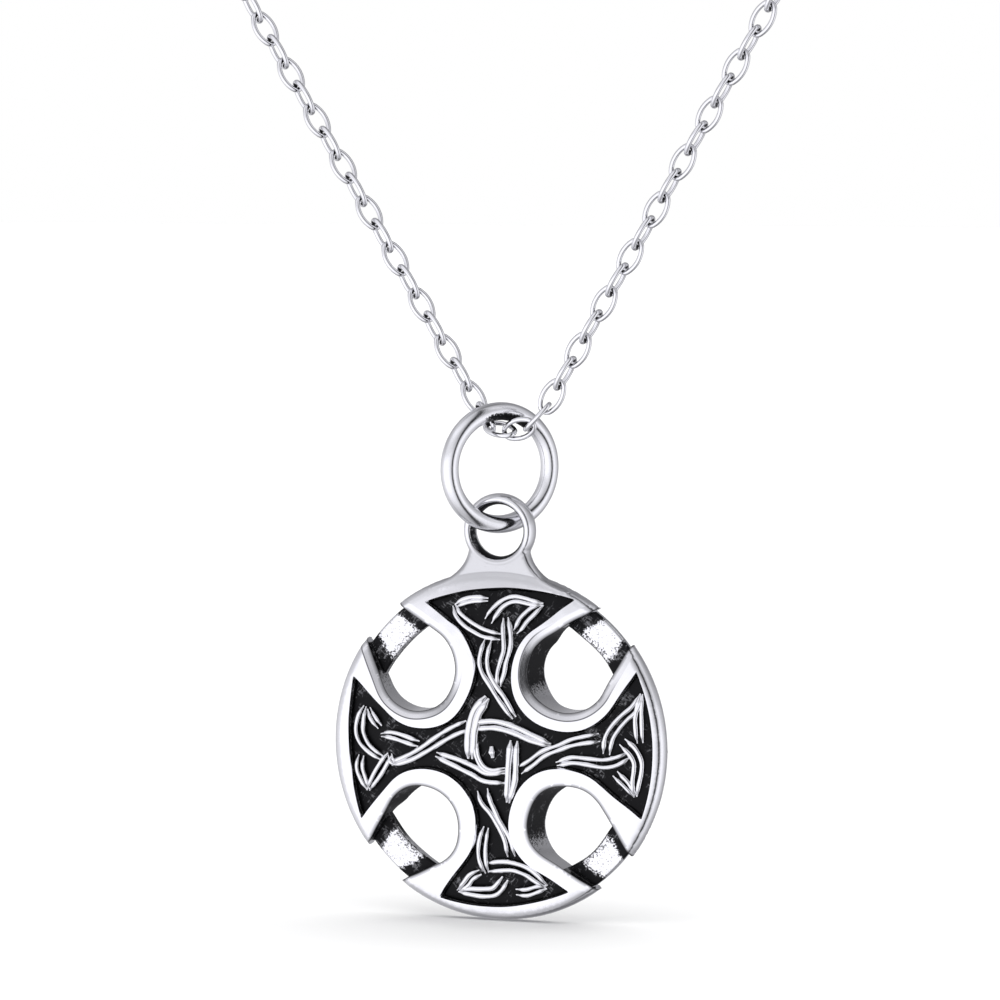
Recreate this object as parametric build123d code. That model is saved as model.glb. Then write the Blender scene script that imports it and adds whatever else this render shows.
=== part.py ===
# Round silver cross pendant on a cable chain, sizes in millimetres.
# +X is the wearer's left, +Y points to the back of the neck, +Z is up.
# The origin is where the clasp rests on the nape of the neck.
from build123d import *
import math
import os

# Disc
DISC_RADIUS = 12.5
RIM_THICKNESS = 1.5
DOME_RISE = 1.45
RIM_ROUNDING = 0.35
RECESS_RADIUS = 11.45
RECESS_DEPTH = 0.55
STRAP_WIDTH = 0.75
STRAP_BELOW_FACE = 0.12
STUD_RADIUS = 0.3

# Holes between the arms, each with its border
HOLE_RADIUS = 3.05
HOLE_CENTRE = 5.6
HOLE_MOUTH = 2.6
BORDER_RADIUS = 3.9
BORDER_CENTRE = 5.4
ARM_CORNER = (10.45, 4.8)
RING_INNER_RADIUS = 10.0
RING_OUTER_RADIUS = 12.1
RING_FRONT = 0.05

# Eye and neck on top of the disc, heights above the top of its rim
EYE_RADIUS = 2.25
EYE_WALL = 0.8
EYE_DEPTH = 1.56
EYE_ABOVE_RIM = 2.85
NECK_THICKNESS = 1.4
NECK_HALF_WIDTH = 2.25
NECK_BELOW_EYE = 1.15
NECK_BEND = (2.6, 0.4)
NECK_FOOT = (5.5, -1.4)

# Bail ring, its wire lifted a little above the middle of the eye
BAIL_RADIUS = 4.02
BAIL_WIRE = 1.28
BAIL_LIFT = 0.43
BAIL_TURN = 48.0

# Chain
LINK_LENGTH = 2.85
LINK_WIDTH = 1.75
LINK_WIRE = 0.36
LINK_END_BEND = 0.5
LINK_GAP = 0.2
LINKS_A_SIDE = 113

# Where the pendant hangs below and in front of the nape
PENDANT_DROP = 142.0
PENDANT_FORWARD = 94.0

# Where the lowest links meet, from the bail ring's top: they pass through the ring
LOW_SPOTS = [
    (-2.92, 1.3, 1.67),
    (-1.95, 1.3, 0.03),
    (-0.9, 0.61, -1.12),
    (0.73, -0.02, -1.5),
    (2.32, -0.35, -0.96),
    (3.53, -0.26, 0.29),
    (4.5, -0.26, 1.94),
]

# Corner points of the chain's line from the end of each leg to the nape
NECK_POINTS = [
    (46.0, -94.0, -45.0),
    (54.5, -74.0, -25.0),
    (54.0, -40.0, -11.0),
    (36.0, -10.0, -3.0),
]
NECK_BENDS = [12.0, 30.0, 35.0, 35.0]

# Turn of the links about the chain's own line, in degrees
LOW_TURNS = [130.0, 18.0, 117.0, 25.0, 100.0, 3.0]
LEFT_LEG_TURN = 47.6
RIGHT_LEG_TURN = 82.4
CLASP_TURN = 90.0
LEG_SHARE = 0.4

# Clasp
CLASP_RADIUS = 2.5
CLASP_WIRE = 1.0
CLASP_EYE_RADIUS = 0.8
CLASP_EYE_WIRE = 0.5
CLASP_EYE_OVERLAP = 0.2

# Lines of the raised knot straps on the disc, (x, z) from its centre
TOP_ARM_STRAPS = [
    [(-0.3, 10.35), (-1.6, 10.35), (-2.9, 9.9)],
    [(-2.9, 9.9), (-2.2, 9.1), (-1.1, 8.5), (0.3, 8.1)],
    [(-0.5, 9.1), (0.1, 9.9), (1.0, 10.4), (2.0, 10.5), (3.2, 10.2)],
    [(3.2, 10.2), (2.7, 9.5), (2.0, 8.7)],
    [(0.8, 9.0), (1.0, 7.9), (1.0, 6.7), (0.9, 5.6), (0.5, 4.6)],
    [(-0.4, 7.3), (-0.6, 6.3), (-0.4, 5.3), (0.3, 4.3), (1.0, 3.2), (1.6, 2.3)],
]
BOTTOM_ARM_STRAPS = [
    [(-0.8, -3.2), (-0.2, -4.5), (0.6, -5.7), (1.3, -6.8), (1.6, -7.9)],
    [(-0.5, -6.1), (-0.8, -7.3), (-0.7, -8.7)],
    [(-1.3, -9.1), (-2.3, -9.6), (-3.0, -10.3)],
    [(-3.0, -10.3), (-1.6, -10.3), (-0.1, -10.4), (0.6, -9.7)],
    [(-0.6, -8.5), (1.2, -8.6), (2.4, -9.1), (3.5, -10.0)],
    [(3.5, -10.0), (2.6, -10.4), (1.4, -10.4)],
]
LEFT_ARM_STRAPS = [
    [(-7.5, -1.2), (-5.9, -0.6), (-4.4, 0.1), (-3.1, 0.8), (-2.0, 1.4)],
    [(-8.7, 0.7), (-7.6, 0.7), (-6.1, 0.6), (-5.1, 0.3)],
    [(-9.0, -0.7), (-9.7, -0.5), (-10.2, 0.3), (-10.3, 1.3), (-9.8, 2.4)],
    [(-9.8, 2.4), (-9.2, 1.9), (-8.7, 1.3)],
    [(-10.5, -1.2), (-10.4, -2.1), (-9.9, -3.1)],
    [(-9.9, -3.1), (-9.2, -2.2), (-8.5, -1.4), (-7.9, -0.8), (-7.4, -1.2)],
]
RIGHT_ARM_STRAPS = [
    [(2.3, -1.2), (3.5, -0.4), (4.7, 0.1), (6.2, 0.4), (7.6, 0.7)],
    [(5.3, -0.8), (6.9, -0.9), (8.2, -1.1), (9.4, -0.8)],
    [(8.2, -0.2), (8.6, 0.9), (9.3, 1.7), (10.1, 2.4), (10.6, 3.3)],
    [(10.6, 3.3), (10.9, 2.2), (11.0, 1.2), (10.9, 0.5)],
    [(9.4, 0.3), (10.1, -0.4), (10.5, -1.4), (10.3, -2.8)],
    [(10.3, -2.8), (9.7, -2.1), (9.0, -1.7)],
]
MIDDLE_STRAPS = [
    [(-0.4, 3.4), (-1.1, 2.5), (-1.6, 1.6), (-1.7, 0.7), (-1.6, -0.1), (-1.3, -0.9)],
    [(-1.1, 1.5), (0.1, 1.5), (1.3, 1.3), (2.4, 1.0), (3.7, 0.4)],
    [(1.5, 0.3), (1.4, -0.6), (1.25, -1.7), (1.0, -2.9), (0.8, -3.8)],
    [(-4.3, -0.7), (-2.9, -1.2), (-1.8, -1.7), (-0.8, -2.1), (0.6, -2.2)],
]
STUD_CENTRE = (0.0, -0.25)

# Derived sizes
HALF_RIM = RIM_THICKNESS / 2
DOME_RADIUS = (DISC_RADIUS**2 + DOME_RISE**2) / (2 * DOME_RISE)
APEX_Y = -HALF_RIM - DOME_RISE
DOME_CENTRE_Y = APEX_Y + DOME_RADIUS
CUT_REACH = 2 * DISC_RADIUS
EYE_HEIGHT = DISC_RADIUS + EYE_ABOVE_RIM
NECK_TOP = EYE_HEIGHT - NECK_BELOW_EYE
BAIL_HEIGHT = EYE_HEIGHT + BAIL_LIFT + BAIL_RADIUS
PENDANT = Vector(0, -PENDANT_FORWARD, -PENDANT_DROP)
BAIL_TOP = PENDANT + Vector(0, 0, BAIL_HEIGHT + BAIL_RADIUS)
LINK_HALF_LENGTH = (LINK_LENGTH - LINK_WIRE) / 2
LINK_HALF_WIDTH = (LINK_WIDTH - LINK_WIRE) / 2
LINK_SIDE_BEND = (
    (LINK_HALF_LENGTH**2 + LINK_HALF_WIDTH**2 - 2 * LINK_HALF_LENGTH * LINK_END_BEND)
    / (2 * (LINK_HALF_WIDTH - LINK_END_BEND))
)
CLASP_EYE_X = CLASP_RADIUS + CLASP_WIRE / 2 + CLASP_EYE_RADIUS - CLASP_EYE_OVERLAP
ROUTE_END_X = CLASP_EYE_X + (LINK_WIRE + LINK_GAP) / 2


def on_face(sketch):
    """Turn a sketch drawn in (x, z) to stand upright in the disc's plane."""
    return Plane.XZ * sketch


def through(sketch, front_y, back_y):
    """Solid of an upright sketch between two depths."""
    depth = back_y - front_y
    return Pos(0, back_y, 0) * extrude(on_face(sketch), amount=depth)


def dome_ball(below_face):
    """Ball whose front surface lies a given depth below the domed face."""
    return Pos(0, DOME_CENTRE_Y, 0) * Sphere(DOME_RADIUS - below_face)


def quarter_turns(sketch):
    """Four copies of a sketch, one in each gap between the arms."""
    return Sketch() + [Rot(0, 0, 90 * turn) * sketch for turn in range(4)]


def drop_outline(radius, centre, mouth_points):
    """Round outline drawn out to a mouth at the rim."""
    circle = Pos(centre, centre) * Circle(radius)
    mouth = Polyline(*mouth_points)
    return make_hull(circle.edges() + mouth.edges())


def disc_blank():
    """Round disc with a flat back and a domed face."""
    edge_angle = math.asin((DISC_RADIUS - RIM_ROUNDING) / DOME_RADIUS)
    dome_end = DOME_CENTRE_Y - DOME_RADIUS * math.cos(edge_angle)
    half_angle = edge_angle / 2
    dome_mid = (
        DOME_RADIUS * math.sin(half_angle),
        DOME_CENTRE_Y - DOME_RADIUS * math.cos(half_angle),
    )
    inner = DISC_RADIUS - RIM_ROUNDING
    rounding = RIM_ROUNDING * math.sqrt(0.5)
    front_mid = (inner + rounding, dome_end + RIM_ROUNDING - rounding)
    back_mid = (inner + rounding, HALF_RIM - RIM_ROUNDING + rounding)
    outline = Curve() + [
        ThreePointArc((0, APEX_Y), dome_mid, (inner, dome_end)),
        ThreePointArc((inner, dome_end), front_mid, (DISC_RADIUS, dome_end + RIM_ROUNDING)),
        Line((DISC_RADIUS, dome_end + RIM_ROUNDING), (DISC_RADIUS, HALF_RIM - RIM_ROUNDING)),
        ThreePointArc((DISC_RADIUS, HALF_RIM - RIM_ROUNDING), back_mid, (inner, HALF_RIM)),
        Line((inner, HALF_RIM), (0, HALF_RIM)),
        Line((0, HALF_RIM), (0, APEX_Y)),
    ]
    return revolve(make_face(outline), Axis.Y)


def hole_sketch():
    """The four holes, each narrowing to its mouth at the rim."""
    diagonal = math.sqrt(0.5)
    reach = DISC_RADIUS + RIM_THICKNESS
    ends = [
        (diagonal * (reach + side * HOLE_MOUTH / 2), diagonal * (reach - side * HOLE_MOUTH / 2))
        for side in (1, -1)
    ]
    return quarter_turns(drop_outline(HOLE_RADIUS, HOLE_CENTRE, ends))


def recess_sketch():
    """The cross-shaped recess left between the borders of the holes."""
    low = ARM_CORNER
    high = (ARM_CORNER[1], ARM_CORNER[0])
    outside = DISC_RADIUS / RECESS_RADIUS
    far_high = (high[0] * outside, high[1] * outside)
    far_low = (low[0] * outside, low[1] * outside)
    border = drop_outline(BORDER_RADIUS, BORDER_CENTRE, [low, high])
    border += make_face(Polyline(low, far_low, far_high, high, close=True))
    return Circle(RECESS_RADIUS) - quarter_turns(border)


def strap_sketch():
    """All the knot straps, drawn as bands of one width."""
    straps = (
        TOP_ARM_STRAPS + BOTTOM_ARM_STRAPS + LEFT_ARM_STRAPS
        + RIGHT_ARM_STRAPS + MIDDLE_STRAPS
    )
    bands = [trace(Spline(*points), line_width=STRAP_WIDTH) for points in straps]
    stud = Pos(*STUD_CENTRE) * Circle(STUD_RADIUS)
    return Sketch() + bands + [stud]


def eye_and_neck():
    """Rounded eye on a neck that flares out to the rim."""
    section = Pos(EYE_RADIUS, 0) * Ellipse(EYE_WALL / 2, EYE_DEPTH / 2)
    eye = Pos(0, 0, EYE_HEIGHT) * revolve(section, Axis.Y)
    foot = (NECK_FOOT[0], DISC_RADIUS + NECK_FOOT[1])
    bend = (NECK_BEND[0], DISC_RADIUS + NECK_BEND[1])
    top = (NECK_HALF_WIDTH, NECK_TOP)
    right = Curve() + [
        Spline(foot, bend, top, tangents=[(-1, 0.35), (0, 1)]),
        Line(top, (0, NECK_TOP)),
        Line((0, NECK_TOP), (0, foot[1])),
        Line((0, foot[1]), foot),
    ]
    half = make_face(right)
    neck = half + mirror(half, Plane.YZ) - Pos(0, EYE_HEIGHT) * Circle(EYE_RADIUS)
    return eye + through(neck, -NECK_THICKNESS / 2, NECK_THICKNESS / 2)


def cross_disc():
    """The whole casting: disc, holes, recess, knotwork, neck and eye."""
    holes = hole_sketch()
    recess = recess_sketch()
    disc = disc_blank()
    disc += eye_and_neck()
    disc -= through(holes, -CUT_REACH, RING_FRONT)
    disc -= through(holes & Circle(RING_INNER_RADIUS), -CUT_REACH, CUT_REACH)
    disc -= through(holes - Circle(RING_OUTER_RADIUS), -CUT_REACH, CUT_REACH)
    disc -= through(recess, -CUT_REACH, 0) - dome_ball(RECESS_DEPTH)
    straps = through(strap_sketch() & recess, -CUT_REACH, 0)
    disc += straps & dome_ball(STRAP_BELOW_FACE) - dome_ball(2 * RECESS_DEPTH)
    return disc


def bail_ring():
    """Thick round ring through the eye, turned so that it clears the eye."""
    return Pos(0, 0, BAIL_HEIGHT) * Rot(0, 0, BAIL_TURN) * Rot(90, 0, 0) * Torus(
        BAIL_RADIUS, BAIL_WIRE / 2
    )


def half_route(side):
    """Line of the chain from one end of the low run to the clasp."""
    start = BAIL_TOP + Vector(*LOW_SPOTS[-1 if side > 0 else 0])
    neck = [(side * x, y, z) for x, y, z in NECK_POINTS]
    end = (side * ROUTE_END_X, 0, 0)
    return FilletPolyline(start, *neck, end, radius=NECK_BENDS)


def smooth_step(value):
    """Rise from 0 to 1 with level ends."""
    value = min(max(value, 0), 1)
    return value * value * (3 - 2 * value)


def plain_link():
    """One oval link lying in the XY plane with its length along X."""
    end_x = LINK_HALF_LENGTH - LINK_END_BEND
    side_y = LINK_SIDE_BEND - LINK_HALF_WIDTH
    lean = math.degrees(math.atan2(side_y, end_x))
    line = Wire([
        CenterArc((end_x, 0), LINK_END_BEND, -lean, 2 * lean),
        CenterArc((0, -side_y), LINK_SIDE_BEND, lean, 180 - 2 * lean),
        CenterArc((-end_x, 0), LINK_END_BEND, 180 - lean, 2 * lean),
        CenterArc((0, side_y), LINK_SIDE_BEND, 180 + lean, 180 - 2 * lean),
    ])
    start = Plane(origin=line @ 0, z_dir=line % 0)
    return sweep(start * Circle(LINK_WIRE / 2), path=line)


def place_link(link, start, end, turn):
    """Put a link between two points of the chain's line."""
    along = (end - start).normalized()
    up = (Vector(0, 0, 1) - along * along.Z).normalized()
    across = along.cross(up)
    angle = math.radians(turn)
    width_dir = up * math.cos(angle) + across * math.sin(angle)
    middle = (start + end) / 2
    return Plane(origin=middle, x_dir=along, z_dir=along.cross(width_dir)) * link


def chain():
    """All the links, from the clasp round the pendant and back."""
    link = plain_link()
    low = [BAIL_TOP + Vector(*spot) for spot in LOW_SPOTS]
    links = [
        place_link(link, low[index], low[index + 1], turn)
        for index, turn in enumerate(LOW_TURNS)
    ]
    for side, leg_turn in ((1, RIGHT_LEG_TURN), (-1, LEFT_LEG_TURN)):
        line = half_route(side)
        spots = [line @ (index / LINKS_A_SIDE) for index in range(LINKS_A_SIDE + 1)]
        for index in range(LINKS_A_SIDE):
            share = index / (LINKS_A_SIDE - 1)
            change = smooth_step((share - LEG_SHARE) / (1 - LEG_SHARE))
            turn = leg_turn + (CLASP_TURN - leg_turn) * change + 90 * index
            ends = spots[index:index + 2][::side]
            links.append(place_link(link, *ends, turn))
    return Compound(children=links)


def clasp():
    """Plain round clasp with an eye at each side."""
    upright = Rot(90, 0, 0)
    ring = upright * Torus(CLASP_RADIUS, CLASP_WIRE / 2)
    eye = upright * Torus(CLASP_EYE_RADIUS, CLASP_EYE_WIRE / 2)
    return ring + Pos(CLASP_EYE_X, 0, 0) * eye + Pos(-CLASP_EYE_X, 0, 0) * eye


os.makedirs("parts", exist_ok=True)
export_step(Pos(*PENDANT) * cross_disc(), "parts/cross_disc.step")
export_step(Pos(*PENDANT) * bail_ring(), "parts/bail_ring.step")
export_step(chain(), "parts/chain.step")
export_step(clasp(), "parts/clasp.step")
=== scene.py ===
# Antiqued silver cross pendant on a cable chain: its finish, its knotwork and a plain studio.
import math

import bpy
import numpy as np
from bpy.props import FloatProperty, FloatVectorProperty, IntProperty, PointerProperty
from mathutils import Matrix, Vector, kdtree, noise
from mathutils.geometry import delaunay_2d_cdt


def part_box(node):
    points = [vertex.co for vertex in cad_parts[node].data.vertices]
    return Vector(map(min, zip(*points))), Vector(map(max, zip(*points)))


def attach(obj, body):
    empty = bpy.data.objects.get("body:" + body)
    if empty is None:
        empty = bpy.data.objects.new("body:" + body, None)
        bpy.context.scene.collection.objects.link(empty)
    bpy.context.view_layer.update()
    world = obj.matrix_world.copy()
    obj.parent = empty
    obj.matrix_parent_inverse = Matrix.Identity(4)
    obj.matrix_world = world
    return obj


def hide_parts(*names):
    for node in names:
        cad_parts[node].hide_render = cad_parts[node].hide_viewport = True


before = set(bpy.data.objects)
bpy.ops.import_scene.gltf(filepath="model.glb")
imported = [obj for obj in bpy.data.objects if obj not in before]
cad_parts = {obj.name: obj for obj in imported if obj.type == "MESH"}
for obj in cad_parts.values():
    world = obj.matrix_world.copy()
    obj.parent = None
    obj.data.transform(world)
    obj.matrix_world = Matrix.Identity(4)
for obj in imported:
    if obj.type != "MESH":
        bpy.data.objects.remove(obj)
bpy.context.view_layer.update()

bl_info = {
    "name": "Silver cross pendant",
    "version": (1, 0, 0),
    "blender": (4, 5, 0),
    "location": "3D View > Sidebar > Pendant",
    "description": "Builds a round silver cross pendant, its bail ring and its chain",
    "category": "Object",
}

# The frame's boxes
MM = 0.001
DISC_LOW, DISC_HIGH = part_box("cross_disc")
RING_LOW, RING_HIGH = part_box("bail_ring")

# Disc, in millimetres from the middle of its rim: x to the right, y to the back, z up
DISC_RADIUS = (DISC_HIGH.x - DISC_LOW.x) / 2 / MM
HALF_RIM = 0.75
DOME_RISE = 1.45
DOME_RADIUS = (DISC_RADIUS**2 + DOME_RISE**2) / (2 * DOME_RISE)
DOME_CENTRE_Y = DOME_RADIUS - HALF_RIM - DOME_RISE
CENTRE = Vector((
    (DISC_LOW.x + DISC_HIGH.x) / 2,
    DISC_HIGH.y - HALF_RIM * MM,
    DISC_LOW.z + DISC_RADIUS * MM,
))
RIM_ROUNDING = 0.6
RING_INNER = 10.0
RING_OUTER = 12.1
RING_FRONT = 0.05
RING_ROUNDING = 0.18

# Gaps between the arms: way out in degrees, hole's centre and radius, border's centre and
# radius, and the two corners of the arms beside it
GAPS = [
    (135, (-5.75, 5.37), 3.0, (-5.35, 5.26), 4.1, (-5.3, 10.1), (-10.85, 4.6)),
    (45, (5.55, 5.58), 2.95, (5.5, 5.33), 4.05, (10.5, 5.6), (5.8, 10.6)),
    (-45, (5.55, -5.37), 2.9, (5.3, -5.3), 4.05, (5.5, -10.15), (10.9, -4.7)),
    (-135, (-5.4, -5.83), 2.9, (-5.0, -5.5), 3.9, (-10.25, -5.55), (-4.25, -11.0)),
]
MOUTH_REACH = 14.0
MOUTH_HALF = 1.3

# How dark each gap's wall is painted as shade, how deep its slope and how far its wall leans in at
# the back
WALL_SHADE = (0.4, 1.0, 0.9, 0.95)
SLOPE_SHARE = (1.0, 1.0, 0.3, 0.3)
WALL_LEAN = (0.0, 0.5, 0.5, 0.4)

# Side of a hole whose wall leans, how squarely a point has to face it, how far from the hole
# the back still moves and over how much it fades before the ring
LEAN_WAY = math.radians(165)
LEAN_TURN = (0.1, 0.9)
LEAN_REACH = 1.3
LEAN_FADE = 1.4

# Outer end of each arm's recess: centre and radius, for the top, right, bottom and left arm
ARM_ENDS = [(1.0, -6.1, 17.4), (-2.0, 0.0, 13.7), (-0.6, 3.2, 14.65), (12.0, 0.86, 23.15)]

# Edges on the face: how far each reaches from the outline that it follows
RECESS_WALL = (-0.05, 0.12)
HOLE_WALL = 0.07
FACE_EDGE = -0.03
EDGE_ROUNDING = 0.06
BEHIND_ALL = 1.0

# Side of a hole where its slope is deep, and the share of the slope on the other side
SLOPE_WAY = (-0.6, -0.8)
SLOPE_TURN = (-0.75, 0.35)
SLOPE_LEAST = 0.3

# Lines that the face's points follow, as distances from an outline, and spacing along them
LINE_STEP = 0.16
RIM_LINES = (0, 0.04, 0.14, 0.33, RIM_ROUNDING)
HOLE_LINE_REACH = 8
RECESS_LINES = (-0.12, -0.05, 0.0, 0.06, 0.12, 0.2)
RECESS_LINE_REACH = 6
RING_LINES = (0, 0.05, RING_ROUNDING)
RING_LINE_MARGIN = 0.3
NECK_LINES = (0, 0.03, 0.12, 0.3)
EYE_LINES = (-1, -0.985, -0.9, -0.7, -0.35, 0, 0.35, 0.7, 0.9, 0.985, 1)
LINE_MISS = 0.004
BACK_LINE_STEP = 0.3
BACK_RIM_LINES = (0.1, 0.3, RIM_ROUNDING)
BACK_EYE_LINES = (-0.9, -0.5, 0, 0.5, 0.9)
BACK_EYE_STEP = 0.25

# Points between the lines: how much wider the back's stand, the gap between their rows and
# their least gap to a line as shares of their spacing, how far past the disc they start, and
# what counts as one point, as no triangle and as no length
BACK_GRID = 2.2
ROW_GAP = math.sqrt(0.75)
GRID_GAP = 0.62
GRID_MARGIN = 0.1
MERGE_REACH = 1e-4
LEAST_AREA = 1e-7
LEAST_LENGTH = 1e-6

# Rows of points down the walls, as shares of the way from front to back
WALL_LEVELS = (0.015, 0.15, 0.35, 0.55, 0.75, 0.95)
CREASE_ANGLE = 50

# Blackening, oxide on the recess floor and the ring segments and painted shade by the arm walls,
# in and below the eye and on the hole walls: reaches from an outline, and shares of full black
FLOOR_DARK_REACH = (-0.02, 0.1)
RING_DARK = 0.36
RING_DARK_BY_ARM = 0.55
RING_DARK_REACH = (-1.2, -0.2)
RING_DARK_INSIDE = 0.1
RING_INSIDE_REACH = 0.5
EYE_SHADE_REACH = 0.2
NECK_SHADE = 0.3
NECK_SHADE_BELOW = (1.2, 2.2)
NECK_SHADE_BESIDE = (0.1, 0.8)
WALL_SHADE_LOW = 0.33
WALL_SHADE_MORE = 0.5
WALL_SHADE_TURN = (-0.85, 0.1)
WALL_PAINTED_GREY = 1.7
WALL_PAINTED_GREY_START = 0.3
WALL_MARGIN = 0.01

# Painted shade and painted reflection on bright metal: grey along the holes' edges and slopes, and
# at the disc's top
EDGE_PAINTED_SHADE = ((0, EDGE_ROUNDING, 0.13), (1, 0.7, 0))
SLOPE_PAINTED_SHADE = (0, 0.14, 0.12, 1, 0)
SLOPE_PAINTED_SHADE_SHARE = (0.25, 0.8)
TOP_PAINTED_SHADE = 0.3
TOP_PAINTED_SHADE_REACH = 2.6
TOP_PAINTED_SHADE_END = (1.8, 0.4)

# Hand work: how far points stray, and the noise that moves them as its scale and seed
DRIFT = 0.12
DRIFT_NOISE = (0.35, (3.1, 8.7))
DRIFT_FADE = (1.6, 0.6)
FRONT_RIPPLE = 0.018
FRONT_RIPPLE_NOISE = (0.9, 0.3)
BACK_RIPPLE = 0.02
BACK_RIPPLE_NOISE = (0.6, 5.5)
EYE_CALM = 0.6

# Eye and neck above the disc
EYE_RADIUS = 2.25
EYE_HALF_WALL = 0.4
EYE_HALF_DEPTH = 0.78
EYE_HEIGHT = DISC_RADIUS + 2.85
NECK_HALF_DEPTH = 0.7
NECK_SIDE = [(5.5, 11.1), (3.6, 11.75), (2.35, 12.7), (2.25, 14.3)]
NECK_STEPS = 60
NECK_ROUNDING = 0.55
NECK_FOOT = 0.4
NECK_REACH = 1.6
EYE_BLEND = 0.12
NECK_BLEND = 0.35

# Bail ring: its turn in degrees, and the cosines between which painted shade darkens the inside of
# its top
BAIL_TURN = 48.0
BAIL_WIRE = 1.28
BAIL_CENTRE = (RING_LOW + RING_HIGH) / 2
BAIL_RADIUS = (RING_HIGH.z - RING_LOW.z) / 2 / MM - BAIL_WIRE / 2
BAIL_STEPS = 180
BAIL_SIDES = 40
BAIL_SHADE = 0.72
BAIL_SHADE_INSIDE = (-0.5, 0.4)
BAIL_SHADE_TOP = (0.72, 0.93)
BAIL_SHADE_ANGLE = 1.4

# Chain link, with painted shade within a reach of where the next one touches it
LINK_LENGTH = 2.85
LINK_WIDTH = 1.75
LINK_END_BEND = 0.5
LINK_SHADE_REACH = (0.16, 0.38)
WELD_REACH = 0.001

# Knot straps: how thick the two ridges are, then the strap's line as
# (x, z, distance between the ridges)
TOP_ARM_STRAPS = [
    (1.0, [(-0.6, 10.44, 0.2), (-1.6, 10.46, 0.3), (-2.5, 10.24, 0.3), (-3.1, 9.93, 0.2)]),
    (1.0, [(-3.2, 9.97, 0.2), (-2.75, 9.28, 0.4), (-2.1, 8.75, 0.5), (-1.4, 8.37, 0.5),
           (-0.7, 8.08, 0.5), (0.5, 7.86, 0.4)]),
    (1.0, [(-0.5, 8.94, 0.6), (-0.1, 9.55, 0.55), (0.4, 10.11, 0.45), (1.05, 10.48, 0.4),
           (1.75, 10.54, 0.35), (2.6, 10.36, 0.3), (3.5, 10.23, 0.15)]),
    (1.0, [(3.5, 10.23, 0.15), (2.8, 9.72, 0.5), (2.2, 9.15, 0.55), (1.9, 8.65, 0.5),
           (1.55, 8.24, 0.35)]),
    (1.1, [(0.8, 9.22, 0.35), (0.95, 8.37, 0.55), (1.05, 7.53, 0.55), (1.0, 6.82, 0.45),
           (0.8, 6.07, 0.45), (0.65, 5.32, 0.5), (0.5, 4.31, 0.2)]),
    (1.1, [(-0.45, 7.59, 0.5), (-0.65, 6.68, 0.55), (-0.7, 6.03, 0.6), (-0.5, 5.34, 0.5),
           (-0.1, 4.7, 0.4), (0.35, 4.06, 0.4), (0.85, 3.42, 0.45), (1.7, 2.19, 0.3)]),
]
BOTTOM_ARM_STRAPS = [
    (1.1, [(-0.7, -3.02, 0.8), (-0.45, -3.81, 0.7), (0.0, -4.5, 0.45), (0.4, -5.24, 0.3),
           (0.8, -5.93, 0.35), (1.15, -6.72, 0.45), (1.3, -7.77, 0.55)]),
    (1.0, [(-0.5, -5.71, 0.35), (-0.7, -6.47, 0.5), (-0.85, -7.22, 0.55), (-0.85, -8.12, 0.5),
           (-0.6, -9.06, 0.25)]),
    (1.0, [(-1.1, -9.03, 0.35), (-1.75, -9.39, 0.4), (-2.25, -9.95, 0.4), (-2.95, -10.52, 0.15)]),
    (1.1, [(-2.9, -10.47, 0.2), (-1.9, -10.5, 0.45), (-0.95, -10.52, 0.55), (-0.15, -10.4, 0.55),
           (0.35, -9.99, 0.55), (0.75, -9.38, 0.45)]),
    (1.1, [(-0.55, -8.66, 0.6), (0.55, -8.49, 0.65), (1.5, -8.51, 0.55), (2.4, -8.79, 0.55),
           (3.05, -9.23, 0.5), (3.8, -9.86, 0.2)]),
    (1.0, [(3.8, -9.91, 0.2), (3.15, -10.07, 0.4), (2.35, -10.34, 0.45), (1.5, -10.36, 0.4)]),
]
LEFT_ARM_STRAPS = [
    (1.1, [(-7.8, -1.54, 0.2), (-6.5, -1.06, 0.4), (-5.3, -0.43, 0.45), (-4.1, 0.35, 0.55),
           (-2.95, 1.03, 0.6), (-1.8, 1.56, 0.65)]),
    (1.0, [(-8.65, 0.49, 0.2), (-7.85, 0.56, 0.4), (-6.9, 0.38, 0.45), (-5.6, 0.02, 0.4)]),
    (1.0, [(-10.0, 2.51, 0.2), (-10.3, 1.65, 0.5), (-10.4, 0.75, 0.6), (-10.15, 0.06, 0.6),
           (-9.6, -0.53, 0.45), (-8.6, -1.16, 0.35)]),
    (0.9, [(-9.7, 2.37, 0.25), (-9.3, 1.73, 0.4), (-8.75, 1.04, 0.35)]),
    (1.0, [(-10.3, -1.05, 0.4), (-10.4, -1.95, 0.5), (-10.1, -2.79, 0.4), (-9.75, -3.53, 0.2)]),
    (1.0, [(-9.75, -3.53, 0.2), (-9.0, -2.42, 0.5), (-8.35, -1.45, 0.5), (-7.95, -0.84, 0.35)]),
    (0.9, [(-7.95, -0.84, 0.3), (-7.75, -1.29, 0.3), (-7.3, -1.53, 0.25)]),
]
RIGHT_ARM_STRAPS = [
    (1.0, [(2.1, -1.55, 0.5), (2.95, -0.98, 0.45), (3.9, -0.26, 0.4), (5.05, 0.22, 0.35),
           (6.15, 0.65, 0.45), (7.9, 0.99, 0.55)]),
    (1.0, [(4.8, -0.98, 0.25), (5.95, -0.66, 0.4), (7.05, -0.73, 0.45), (8.15, -0.85, 0.55),
           (9.05, -0.68, 0.55), (10.0, -0.21, 0.35)]),
    (1.0, [(8.4, -0.2, 0.45), (8.6, 0.96, 0.55), (9.1, 1.82, 0.55), (9.7, 2.48, 0.5),
           (10.35, 3.1, 0.45), (10.8, 4.11, 0.15)]),
    (1.0, [(10.8, 4.11, 0.15), (10.65, 2.71, 0.4), (10.65, 1.91, 0.45), (10.75, 0.66, 0.4)]),
    (1.1, [(9.5, 0.73, 0.55), (10.2, 0.09, 0.6), (10.6, -0.65, 0.55), (10.6, -1.35, 0.55),
           (10.45, -2.3, 0.45), (10.4, -3.15, 0.2)]),
    (1.0, [(10.4, -3.15, 0.2), (9.8, -2.31, 0.4), (9.0, -1.53, 0.45)]),
]
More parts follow.
